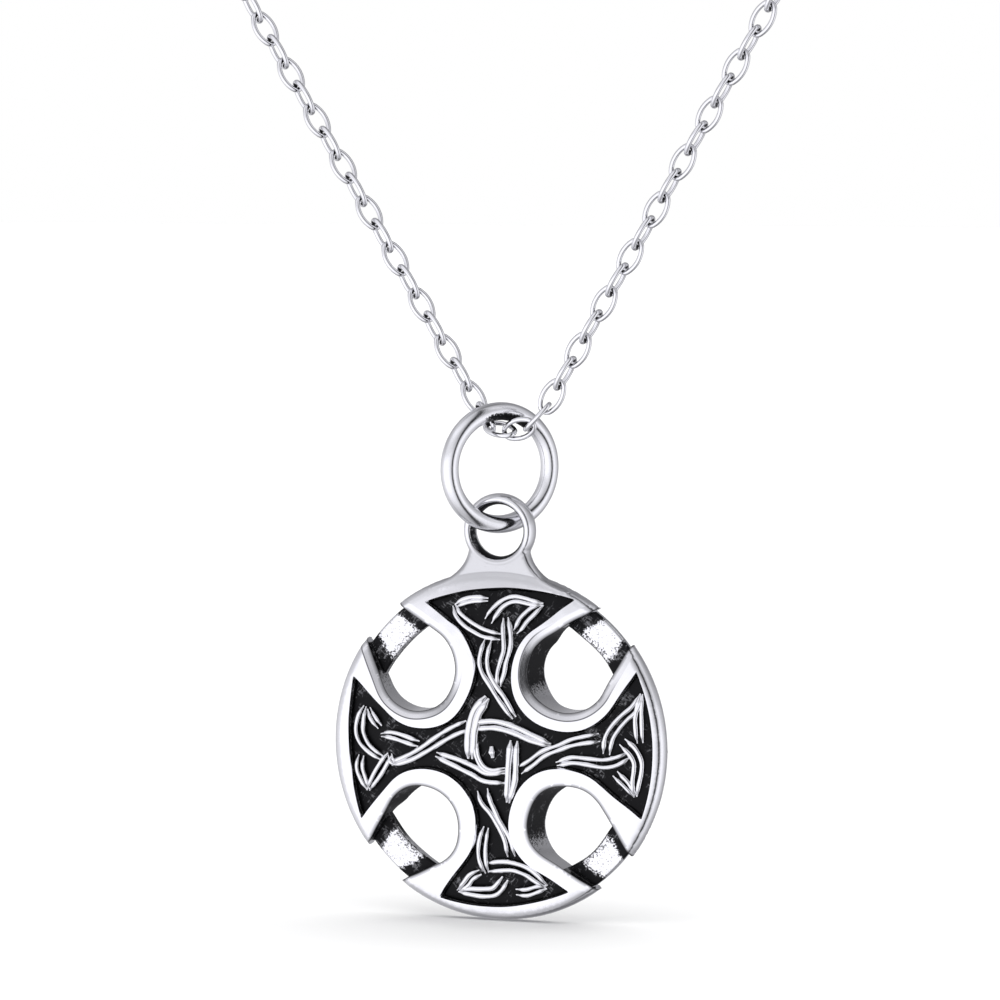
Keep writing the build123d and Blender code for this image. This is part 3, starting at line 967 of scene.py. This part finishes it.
def shaded_link(tree, given):
    """Nodes for one link round its own middle, with painted shade where its neighbours touch it.
    """
    line = add_node(tree, "GeometryNodeObjectInfo", {"Object": given["Link Line"]})
    circle = add_node(tree, "GeometryNodeCurvePrimitiveCircle", {
        "Resolution": given["Sides"],
        "Radius": math_node(tree, "MULTIPLY", given["Wire"], 0.5),
    })
    sweep = add_node(tree, "GeometryNodeCurveToMesh", {
        "Curve": line.outputs["Geometry"], "Profile Curve": circle.outputs["Curve"]})

    place = add_node(tree, "GeometryNodeInputPosition").outputs[0]
    either = add_node(tree, "ShaderNodeVectorMath", {0: place}, operation="ABSOLUTE").outputs[0]
    touch = add_node(tree, "ShaderNodeCombineXYZ", {
        "X": math_node(tree, "SUBTRACT", LINK_LENGTH / 2 * MM, given["Wire"])})
    # Painted shade near where the next link touches
    fade = add_node(tree, "ShaderNodeMapRange", {
        "Value": vector_node(tree, "DISTANCE", either, touch.outputs[0], "Value"),
        "From Min": LINK_SHADE_REACH[0] * MM,
        "From Max": LINK_SHADE_REACH[1] * MM,
        "To Min": 1.0,
        "To Max": 0.0,
    })
    keep = add_node(tree, "GeometryNodeStoreNamedAttribute", {
        "Geometry": sweep.outputs["Mesh"],
        "Name": "oxide",
        "Value": fade.outputs["Result"],
    }, data_type="FLOAT", domain="POINT")
    return keep.outputs["Geometry"]


def link_tree():
    """Geometry nodes that put one link on each point, turned as its point says."""
    tree, given, leave = new_group("chain_links", "GeometryNodeTree", [
        ("Points", "NodeSocketGeometry", None),
        ("Link Line", "NodeSocketObject", None),
        ("Wire", "NodeSocketFloat", 0.00036),
        ("Sides", "NodeSocketInt", 10),
        ("Sway", "NodeSocketFloat", 0.006),
        ("Seed", "NodeSocketInt", 4),
        ("Material", "NodeSocketMaterial", None),
    ], [("Geometry", "NodeSocketGeometry")])
    link = shaded_link(tree, given)
    axes = add_node(tree, "FunctionNodeAxesToRotation", primary_axis="X", secondary_axis="Z")
    for label, target in (("along", "Primary Axis"), ("flat", "Secondary Axis")):
        reader = add_node(
            tree, "GeometryNodeInputNamedAttribute", {"Name": label}, data_type="FLOAT_VECTOR")
        set_inputs(tree, axes, {target: reader.outputs["Attribute"]})
    put = add_node(tree, "GeometryNodeInstanceOnPoints", {
        "Points": given["Points"], "Instance": link, "Rotation": axes.outputs[0]})
    random = add_node(tree, "FunctionNodeRandomValue", {
        "Min": vector_node(tree, "SCALE", (-1, -1, -1), given["Sway"]),
        "Max": vector_node(tree, "SCALE", (1, 1, 1), given["Sway"]),
        "Seed": given["Seed"],
    }, data_type="FLOAT_VECTOR")
    sway = add_node(tree, "GeometryNodeRotateInstances", {
        "Instances": put.outputs[0], "Rotation": random.outputs[0]})
    end_tree(tree, sway.outputs[0], given["Material"], leave)
    return tree


# Straps
def add_curve(name, lines, closed=False):
    """A curve object with one plain spline for each line and its radius, in metres."""
    curve = bpy.data.curves.new(name, "CURVE")
    curve.dimensions = "3D"
    for line, radius in lines:
        spline = curve.splines.new("POLY")
        spline.points.add(len(line) - 1)
        for point, place, size in zip(spline.points, line, radius):
            point.co = (*place, 1)
            point.radius = size
        spline.use_cyclic_u = closed
    return add_object(name, curve)


def spline_points(points, step):
    """Evenly smooth points through a few given ones, by Catmull-Rom."""
    points = np.array(points, float)
    full = np.vstack([2 * points[0] - points[1], points, 2 * points[-1] - points[-2]])
    made = []
    for index in range(1, len(full) - 2):
        p0, p1, p2, p3 = full[index - 1:index + 3]
        count = max(2, int(np.linalg.norm(p2 - p1) / step))
        for t in np.arange(count) / count:
            made.append(0.5 * (
                2 * p1 + (p2 - p0) * t + (2 * p0 - 5 * p1 + 4 * p2 - p3) * t**2
                + (3 * p1 - p0 - 3 * p2 + p3) * t**3
            ))
    made.append(points[-1])
    return np.array(made)


def ridge_lines(thick, points, ridge_radius):
    """The two ridges of one strap, as points in the frame and a radius at each."""
    dense = spline_points(points, STRAP_STEP)
    flat = dense[:, :2]
    along = np.gradient(flat, axis=0)
    along /= np.linalg.norm(along, axis=1)[:, None]
    across = np.column_stack([-along[:, 1], along[:, 0]])
    run = np.r_[0, np.cumsum(np.linalg.norm(np.diff(flat, axis=0), axis=1))]
    low = 1 - smooth(0, STRAP_TAPER, np.minimum(run, run[-1] - run))
    made = []
    for side in (1, -1):
        line = flat + side * dense[:, 2:] / 2 * across
        uneven = RIDGE_UNEVEN * point_noise(line, RIDGE_UNEVEN_SCALE, side * RIDGE_SEED)
        radius = thick * ridge_radius * (RIDGE_SIZE + uneven) * (1 - RIDGE_TAPER * low)
        depth = dome_depth(np.hypot(*line.T)) + STRAP_DEPTH + STRAP_SINK * low
        depth = depth + radius - thick * RIDGE_SINK
        made.append((in_frame(with_depth(line, depth)), radius * MM))
    return made


# Materials
def metal_grain():
    """Shader group: fine scratches and a soft unevenness of a worked metal surface."""
    group, given, leave = new_group("metal_grain", "ShaderNodeTree", [
        ("Scale", "NodeSocketFloat", 1.0),
        ("Roughness", "NodeSocketFloat", 0.12),
        ("Spread", "NodeSocketFloat", 0.08),
    ], [("Roughness", "NodeSocketFloat"), ("Height", "NodeSocketFloat"),
        ("Cloud", "NodeSocketFloat")])
    coords = add_node(group, "ShaderNodeTexCoord").outputs["Object"]
    fine = add_node(group, "ShaderNodeTexNoise", {
        "Vector": coords,
        "Scale": math_node(group, "MULTIPLY", given["Scale"], SCRATCH_SCALE),
        "Detail": 5,
        "Roughness": 0.7,
    }).outputs["Fac"]
    wide = add_node(group, "ShaderNodeTexNoise", {
        "Vector": coords,
        "Scale": math_node(group, "MULTIPLY", given["Scale"], CLOUD_SCALE),
        "Detail": 3,
    }).outputs["Fac"]
    spread = math_node(group, "MULTIPLY", fine, given["Spread"])
    low = math_node(group, "MULTIPLY", wide, CLOUD_HEIGHT)
    high = math_node(group, "MULTIPLY", fine, SCRATCH_HEIGHT)
    set_inputs(group, leave, {
        "Roughness": math_node(group, "ADD", given["Roughness"], spread),
        "Height": math_node(group, "ADD", low, high),
        "Cloud": wide,
    })
    return group


def oxide_and_shade_mask():
    """Shader group: where blackened silver stays, from the oxide and painted shade kept in the
    mesh, with the painted grey shade passed on.
    """
    group, given, leave = new_group("oxide_and_shade_mask", "ShaderNodeTree", [
        ("Grain Scale", "NodeSocketFloat", 8000.0),
        ("Grain", "NodeSocketFloat", 1.0),
        ("Edge", "NodeSocketFloat", 0.07),
    ], [("Mask", "NodeSocketFloat"), ("Speckle", "NodeSocketFloat"), ("Painted Shade", "NodeSocketFloat")])
    coords = add_node(group, "ShaderNodeTexCoord").outputs["Object"]
    tone = add_node(group, "ShaderNodeAttribute", attribute_name="tone").outputs["Fac"]
    kept = add_node(group, "ShaderNodeAttribute", attribute_name="oxide").outputs["Fac"]
    grain = add_node(group, "ShaderNodeTexNoise", {
        "Vector": coords, "Scale": given["Grain Scale"], "Detail": 4, "Roughness": 0.65})
    centred = math_node(group, "SUBTRACT", grain.outputs["Fac"], 0.5)
    shifted = math_node(group, "MULTIPLY", centred, given["Grain"])
    ramp = add_node(group, "ShaderNodeMapRange", {
        "Value": math_node(group, "ADD", kept, shifted),
        "From Min": math_node(group, "SUBTRACT", 0.5, given["Edge"]),
        "From Max": math_node(group, "ADD", 0.5, given["Edge"]),
    }, interpolation_type="SMOOTHSTEP")

    streaks = []
    for lean in STREAK_LEANS:
        squeeze = add_node(group, "ShaderNodeMapping", {
            "Vector": coords, "Rotation": (0, lean, 0), "Scale": STREAK_SHAPE,
        }, vector_type="TEXTURE")
        streak = add_node(group, "ShaderNodeTexNoise", {
            "Vector": squeeze.outputs["Vector"],
            "Scale": SCRATCH_SCALE,
            "Detail": 3,
            "Distortion": 0.6,
        })
        streaks.append(streak.outputs["Fac"])
    both = math_node(group, "MAXIMUM", *streaks)
    patch = add_node(group, "ShaderNodeTexNoise", {
        "Vector": coords, "Scale": PATCH_SCALE, "Detail": 1})
    patched = math_node(group, "SUBTRACT", patch.outputs["Fac"], 0.5)
    patched = math_node(group, "MULTIPLY", patched, PATCH_SHARE)
    speck = add_node(group, "ShaderNodeMapRange", {
        "Value": math_node(group, "ADD", both, patched),
        "From Min": SPECK_RANGE[0],
        "From Max": SPECK_RANGE[1],
    })
    set_inputs(group, leave, {
        "Mask": ramp.outputs["Result"], "Speckle": speck.outputs["Result"], "Painted Shade": tone})
    return group


def tinted(colour, share=1.0):
    """A colour or a share of it, with full alpha."""
    return (*(share * part for part in colour), 1)


def new_material(name):
    """A node material, its tree and its shader."""
    material = bpy.data.materials.new(name)
    material.use_nodes = True
    tree = material.node_tree
    return material, tree, tree.nodes["Principled BSDF"]


def mixed(tree, fac, first, second):
    """Colour between two, by a mask."""
    inputs = {"Factor": fac, 6: first, 7: second}
    return add_node(tree, "ShaderNodeMix", inputs, data_type="RGBA").outputs[2]


def bump(tree, height, strength, distance):
    """Normal raised by a height."""
    node = add_node(tree, "ShaderNodeBump", {
        "Height": height, "Strength": strength, "Distance": distance})
    return node.outputs["Normal"]


def bright_silver(tree, **values):
    """Grain of a polished metal, and its silver colour."""
    silver = bpy.context.scene.finish_colours.silver
    group = bpy.data.node_groups["metal_grain"]
    grain = add_node(tree, "ShaderNodeGroup", values, node_tree=group).outputs
    return grain, mixed(tree, grain["Cloud"], tinted(silver, CLOUD_TINT), tinted(silver))


def polished_silver(name, scale, roughness, strength):
    """Bright silver with soft unevenness."""
    material, tree, shader = new_material(name)
    grain, silver = bright_silver(tree, Scale=scale, Roughness=roughness)
    set_inputs(tree, shader, {
        "Base Color": silver,
        "Roughness": grain["Roughness"],
        "Metallic": 1.0,
        "Normal": bump(tree, grain["Height"], strength, POLISHED_BUMP),
    })
    return material


def antiqued_silver(name, roughness, strength):
    """Silver polished on its high places and black in its low ones, with painted shade and painted
    reflection mixed into its colour.
    """
    colours = bpy.context.scene.finish_colours
    material, tree, shader = new_material(name)
    grain, silver = bright_silver(tree, Roughness=roughness, Spread=0.1)
    oxide = bpy.data.node_groups["oxide_and_shade_mask"]
    mask = add_node(tree, "ShaderNodeGroup", node_tree=oxide).outputs
    black = tinted(colours.oxide)
    dark = mixed(tree, mask["Speckle"], black, tinted(colours.worn, SPECK_TINT))
    # Painted shade and painted reflection: silver mixed towards black by the kept grey
    shade_painted = mixed(tree, mask["Painted Shade"], silver, black)
    rougher = math_node(tree, "MULTIPLY", mask["Mask"], BLACK_ROUGHER)
    duller = math_node(tree, "MULTIPLY", mask["Mask"], BLACK_DULLER)
    speckled = math_node(tree, "MULTIPLY", mask["Speckle"], mask["Mask"])
    height = math_node(tree, "ADD", grain["Height"], speckled)
    set_inputs(tree, shader, {
        "Base Color": mixed(tree, mask["Mask"], shade_painted, dark),
        "Roughness": math_node(tree, "ADD", grain["Roughness"], rougher),
        "Metallic": math_node(tree, "SUBTRACT", 1.0, duller),
        "Normal": bump(tree, height, strength, ANTIQUED_BUMP),
    })
    return material


# Operators, one for each piece, with the shapes that they make
class PENDANT_OT_finishes(bpy.types.Operator):
    """Make the shader groups and the metal finishes"""

    bl_idname = "pendant.finishes"
    bl_label = "Finishes"

    def execute(self, context):
        metal_grain()
        oxide_and_shade_mask()
        antiqued_silver("blackened_silver", roughness=0.1, strength=0.35)
        polished_silver("ring_silver", scale=1.0, roughness=0.1, strength=0.3)
        antiqued_silver("chain_silver", roughness=0.02, strength=0.02)
        return {"FINISHED"}


class PENDANT_OT_casting(bpy.types.Operator):
    """Make the disc with its neck and eye"""

    bl_idname = "pendant.casting"
    bl_label = "Cross disc"

    def execute(self, context):
        verts, faces, dark, tone = casting_mesh(context.scene.disc_sizes)
        thing = add_mesh("cast_cross", in_frame(verts), faces, oxide=dark, tone=tone)
        shade(thing, CREASE_ANGLE)
        material = bpy.data.materials["blackened_silver"]
        finish_piece(thing, "pendant", "antiqued_silver", material, "cross_disc")
        return {"FINISHED"}


class PENDANT_OT_knotwork(bpy.types.Operator):
    """Make the raised straps of the knotwork"""

    bl_idname = "pendant.knotwork"
    bl_label = "Knotwork"

    def execute(self, context):
        sizes = context.scene.disc_sizes
        straps = (
            TOP_ARM_STRAPS + BOTTOM_ARM_STRAPS + LEFT_ARM_STRAPS
            + RIGHT_ARM_STRAPS + MIDDLE_STRAPS
        )
        lines = []
        for thick, points in straps:
            lines += ridge_lines(thick, points, sizes.ridge_radius)
        piece = grown(add_curve("ridge_lines", lines), "knot_straps", ridge_tree(), {
            "Sides": sizes.ridge_sides,
            "Step": RIDGE_STEP * MM,
            "Wander": sizes.ridge_wander * MM,
            "Material": bpy.data.materials["blackened_silver"],
        })
        facing = -read_rows(piece.data.vertices, "normal", 3, float)[:, 1]
        keep_values(piece.data, oxide=1 - smooth(0.0, RIDGE_DARK, facing))
        finish_piece(piece, "pendant", "antiqued_silver", None)
        return {"FINISHED"}


def bail_mesh():
    """Vertices, faces and painted shade of the bail ring, which is painted black inside its top.
    """
    angles = np.arange(BAIL_STEPS) / BAIL_STEPS * 2 * math.pi
    turns = np.arange(BAIL_SIDES) / BAIL_SIDES * 2 * math.pi
    angle, turn = (grid.ravel() for grid in np.meshgrid(angles, turns, indexing="ij"))
    wire = BAIL_WIRE / 2
    out = BAIL_RADIUS + wire * np.cos(turn)
    verts = np.column_stack([out * np.cos(angle), wire * np.sin(turn), out * np.sin(angle)])
    # Painted shade on the inside of the ring's top
    inner = 1 - smooth(*BAIL_SHADE_INSIDE, np.cos(turn))
    top = smooth(*BAIL_SHADE_TOP, np.cos(angle - BAIL_SHADE_ANGLE))
    faces = []
    for step in range(BAIL_STEPS):
        here = step * BAIL_SIDES
        after = (step + 1) % BAIL_STEPS * BAIL_SIDES
        for side in range(BAIL_SIDES):
            beyond = (side + 1) % BAIL_SIDES
            faces.append((here + side, after + side, after + beyond, here + beyond))
    return verts, faces, BAIL_SHADE * inner * top


class PENDANT_OT_bail(bpy.types.Operator):
    """Make the thick ring that carries the disc"""

    bl_idname = "pendant.bail"
    bl_label = "Bail ring"

    def execute(self, context):
        verts, faces, dark = bail_mesh()
        turn = np.array(Matrix.Rotation(math.radians(BAIL_TURN), 3, "Z"))
        placed = verts @ turn.T * MM + np.array(BAIL_CENTRE)
        thing = add_mesh("round_bail", placed, faces, oxide=dark)
        thing.data.shade_smooth()
        material = bpy.data.materials["blackened_silver"]
        finish_piece(thing, "ring", "polished_silver", material, "bail_ring")
        return {"FINISHED"}


def loose_parts(mesh):
    """Points of each loose part of a mesh whose triangles don't share their corners."""
    co = read_rows(mesh.vertices, "co", 3, float)
    corners = read_rows(mesh.loops, "vertex_index", 1, np.int64)
    rounded = np.round(co / (WELD_REACH * MM)).astype(np.int64)
    weld = np.unique(rounded, axis=0, return_inverse=True)[1].ravel()
    faces = weld[corners]
    label = np.arange(faces.max() + 1)
    settled = False
    while not settled:
        lowest = label[faces].min(axis=1)
        fresh = label.copy()
        for corner in range(3):
            np.minimum.at(fresh, faces[:, corner], lowest)
        fresh = fresh[fresh]
        settled = (fresh == label).all()
        label = fresh
    groups = label[weld]
    order = np.argsort(groups, kind="stable")
    ends = np.flatnonzero(np.diff(groups[order])) + 1
    return [co[chunk] for chunk in np.split(order, ends)]


def link_places():
    """Middles, length directions and flat sides of the links in the frame's chain."""
    places = []
    for points in loose_parts(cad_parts["chain"].data):
        middle = (points.min(axis=0) + points.max(axis=0)) / 2
        _, axes = np.linalg.eigh(np.cov((points - middle).T))
        places.append((middle, axes[:, 2], axes[:, 0]))
    return np.array(places).transpose(1, 0, 2)


def link_line(steps, wire):
    """Centre line of one link: two end bends joined by two long sides."""
    half_length = (LINK_LENGTH - wire) / 2
    half_width = (LINK_WIDTH - wire) / 2
    side = (half_length**2 + half_width**2 - 2 * half_length * LINK_END_BEND) / (
        2 * (half_width - LINK_END_BEND))
    end_x = half_length - LINK_END_BEND
    side_y = side - half_width
    lean = math.atan2(side_y, end_x)
    arcs = [
        (end_x, 0, LINK_END_BEND, -lean, lean),
        (0, -side_y, side, lean, math.pi - lean),
        (-end_x, 0, LINK_END_BEND, math.pi - lean, math.pi + lean),
        (0, side_y, side, math.pi + lean, 2 * math.pi - lean),
    ]
    points = []
    for x, y, radius, start, stop in arcs:
        for angle in np.linspace(start, stop, steps // 4 + 1)[:-1]:
            points.append((x + radius * math.cos(angle), y + radius * math.sin(angle), 0))
    return np.array(points) * MM


class PENDANT_OT_chain(bpy.types.Operator):
    """Make the chain's links where the frame has them"""

    bl_idname = "pendant.chain"
    bl_label = "Chain"

    def execute(self, context):
        sizes = context.scene.chain_sizes
        middles, along, flat = link_places()
        thing = add_mesh("link_points", middles, [], along=along, flat=flat)
        points = link_line(sizes.line_steps, sizes.wire)
        line = add_curve("link_line", [(points, np.ones(len(points)))], closed=True)
        piece = grown(thing, "cable_links", link_tree(), {
            "Link Line": line,
            "Wire": sizes.wire * MM,
            "Sides": sizes.wire_sides,
            "Material": bpy.data.materials["chain_silver"],
        })
        bpy.data.objects.remove(line)
        finish_piece(piece, "necklace", "polished_silver", None, "chain")
        return {"FINISHED"}


class PENDANT_OT_clasp(bpy.types.Operator):
    """Give the clasp its finish"""

    bl_idname = "pendant.clasp"
    bl_label = "Clasp"

    def execute(self, context):
        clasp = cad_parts["clasp"]
        clasp.data.materials.clear()
        clasp.data.materials.append(bpy.data.materials["ring_silver"])
        return {"FINISHED"}


def direction(azimuth, elevation):
    """Unit direction from the object to where azimuth and elevation point, in degrees."""
    a = math.radians(azimuth)
    e = math.radians(elevation)
    return Vector((math.sin(a) * math.cos(e), -math.cos(a) * math.cos(e), math.sin(e)))


def add_overhead(strength):
    """Wide soft light from above that no metal mirrors."""
    data = bpy.data.lights.new("overhead", "SUN")
    data.energy = strength
    data.angle = OVERHEAD_WIDTH
    lamp = add_object("overhead", data)
    lamp.rotation_euler = OVERHEAD_TURN
    lamp.visible_glossy = False


def shade_ramp(tree, place, stops):
    """A colour ramp of pale greys."""
    ramp = add_node(tree, "ShaderNodeValToRGB", {"Fac": place})
    elements = ramp.color_ramp.elements
    for stop, level in stops[1:-1]:
        elements.new(stop).color = tinted(STUDIO_TINT, level)
    elements[0].color = tinted(STUDIO_TINT, stops[0][1])
    elements[-1].color = tinted(STUDIO_TINT, stops[-1][1])
    return ramp.outputs["Color"]


def on_ramp(tree, value, scale):
    """Place on a ramp of a value that the scale brings to a half each way."""
    return math_node(tree, "ADD", math_node(tree, "MULTIPLY", value, scale), 0.5)


def studio_world(strength):
    """Pale surroundings, with the bands that polished silver shows: by side and by height."""
    world = bpy.data.worlds.new("studio")
    bpy.context.scene.world = world
    world.use_nodes = True
    tree = world.node_tree
    tree.nodes.clear()
    coords = add_node(tree, "ShaderNodeTexCoord").outputs["Generated"]
    parts = [
        vector_node(tree, "DOT_PRODUCT", coords, direction(azimuth, 0), "Value")
        for azimuth in (90 - CAMERA_AZIMUTH, -CAMERA_AZIMUTH)
    ]
    side = on_ramp(tree, math_node(tree, "ARCTAN2", *parts), 0.5 / math.pi)
    sides = [(0.5 + degrees / 360, level) for degrees, level in SIDE_BANDS]
    around = shade_ramp(tree, side, sides)
    split = add_node(tree, "ShaderNodeSeparateXYZ", {0: coords})
    rise = on_ramp(tree, split.outputs["Z"], 0.5)
    heights = [(0.5 + height / 2, level) for height, level in HEIGHT_BANDS]
    upright = shade_ramp(tree, rise, heights)

    white = (1, 1, 1, 1)
    seen = add_node(tree, "ShaderNodeBackground", {"Color": white, "Strength": 1.0})
    soft = add_node(tree, "ShaderNodeBackground", {"Color": white, "Strength": strength})
    lit = add_node(tree, "ShaderNodeBackground", {
        "Color": vector_node(tree, "MULTIPLY", around, upright)})
    path = add_node(tree, "ShaderNodeLightPath").outputs
    soften = add_node(tree, "ShaderNodeMixShader", {
        "Fac": path["Is Diffuse Ray"], 1: lit.outputs[0], 2: soft.outputs[0]})
    choose = add_node(tree, "ShaderNodeMixShader", {
        "Fac": path["Is Camera Ray"], 1: soften.outputs[0], 2: seen.outputs[0]})
    add_node(tree, "ShaderNodeOutputWorld", {"Surface": choose.outputs[0]})


class PENDANT_OT_studio(bpy.types.Operator):
    """Make the floor, the lights, the surroundings and the camera"""

    bl_idname = "pendant.studio"
    bl_label = "Studio"

    def execute(self, context):
        settings = context.scene.studio_settings
        z = DISC_LOW.z - settings.floor_gap * MM
        corners = [
            (x * FLOOR_REACH, y * FLOOR_REACH, z)
            for x, y in ((-1, -1), (1, -1), (1, 1), (-1, 1))
        ]
        floor = add_mesh("floor", corners, [(0, 1, 2, 3)])
        material, tree, shader = new_material("floor_paper")
        set_inputs(tree, shader, {"Base Color": FLOOR_GREY, "Roughness": FLOOR_ROUGHNESS})
        floor.data.materials.append(material)
        floor.visible_glossy = False
        studio_world(settings.world_strength)
        add_overhead(settings.overhead)
        data = bpy.data.cameras.new("camera")
        data.lens = CAMERA_LENS
        data.sensor_width = SENSOR
        data.clip_start = CAMERA_NEAR
        camera = add_object("camera", data)
        distance = VIEW_WIDTH * MM / 2 / (SENSOR / 2 / CAMERA_LENS)
        way = direction(CAMERA_AZIMUTH, CAMERA_ELEVATION)
        aim = CENTRE + Vector((0, 0, VIEW_ABOVE_DISC * MM))
        camera.location = aim + way * distance
        camera.rotation_euler = way.to_track_quat("Z", "Y").to_euler()
        context.scene.camera = camera
        context.scene.view_settings.view_transform = "Standard"
        return {"FINISHED"}


class PENDANT_PT_panel(bpy.types.Panel):
    """Buttons for the pendant's pieces"""

    bl_label = "Pendant"
    bl_idname = "PENDANT_PT_panel"
    bl_space_type = "VIEW_3D"
    bl_region_type = "UI"
    bl_category = "Pendant"

    def draw(self, context):
        for label in ("disc_sizes", "chain_sizes", "finish_colours", "studio_settings"):
            group = getattr(context.scene, label)
            for name in group.__annotations__:
                self.layout.prop(group, name)
        for operator in OPERATORS:
            self.layout.operator(operator.bl_idname)


GROUPS = {
    "disc_sizes": DiscSizes,
    "chain_sizes": ChainSizes,
    "finish_colours": FinishColours,
    "studio_settings": StudioSettings,
}
OPERATORS = [
    PENDANT_OT_finishes,
    PENDANT_OT_casting,
    PENDANT_OT_knotwork,
    PENDANT_OT_bail,
    PENDANT_OT_chain,
    PENDANT_OT_clasp,
    PENDANT_OT_studio,
]


def register():
    """Register the classes and put the settings on the scene."""
    for kind in [*GROUPS.values(), *OPERATORS, PENDANT_PT_panel]:
        bpy.utils.register_class(kind)
    for name, kind in GROUPS.items():
        setattr(bpy.types.Scene, name, PointerProperty(type=kind))


def unregister():
    """Take the settings and the classes away again."""
    for name in GROUPS:
        delattr(bpy.types.Scene, name)
    for kind in reversed([*GROUPS.values(), *OPERATORS, PENDANT_PT_panel]):
        bpy.utils.unregister_class(kind)


def main():
    """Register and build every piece."""
    register()
    bpy.ops.pendant.finishes()
    bpy.ops.pendant.casting()
    bpy.ops.pendant.knotwork()
    bpy.ops.pendant.bail()
    bpy.ops.pendant.chain()
    bpy.ops.pendant.clasp()
    bpy.ops.pendant.studio()


if __name__ == "__main__":
    main()
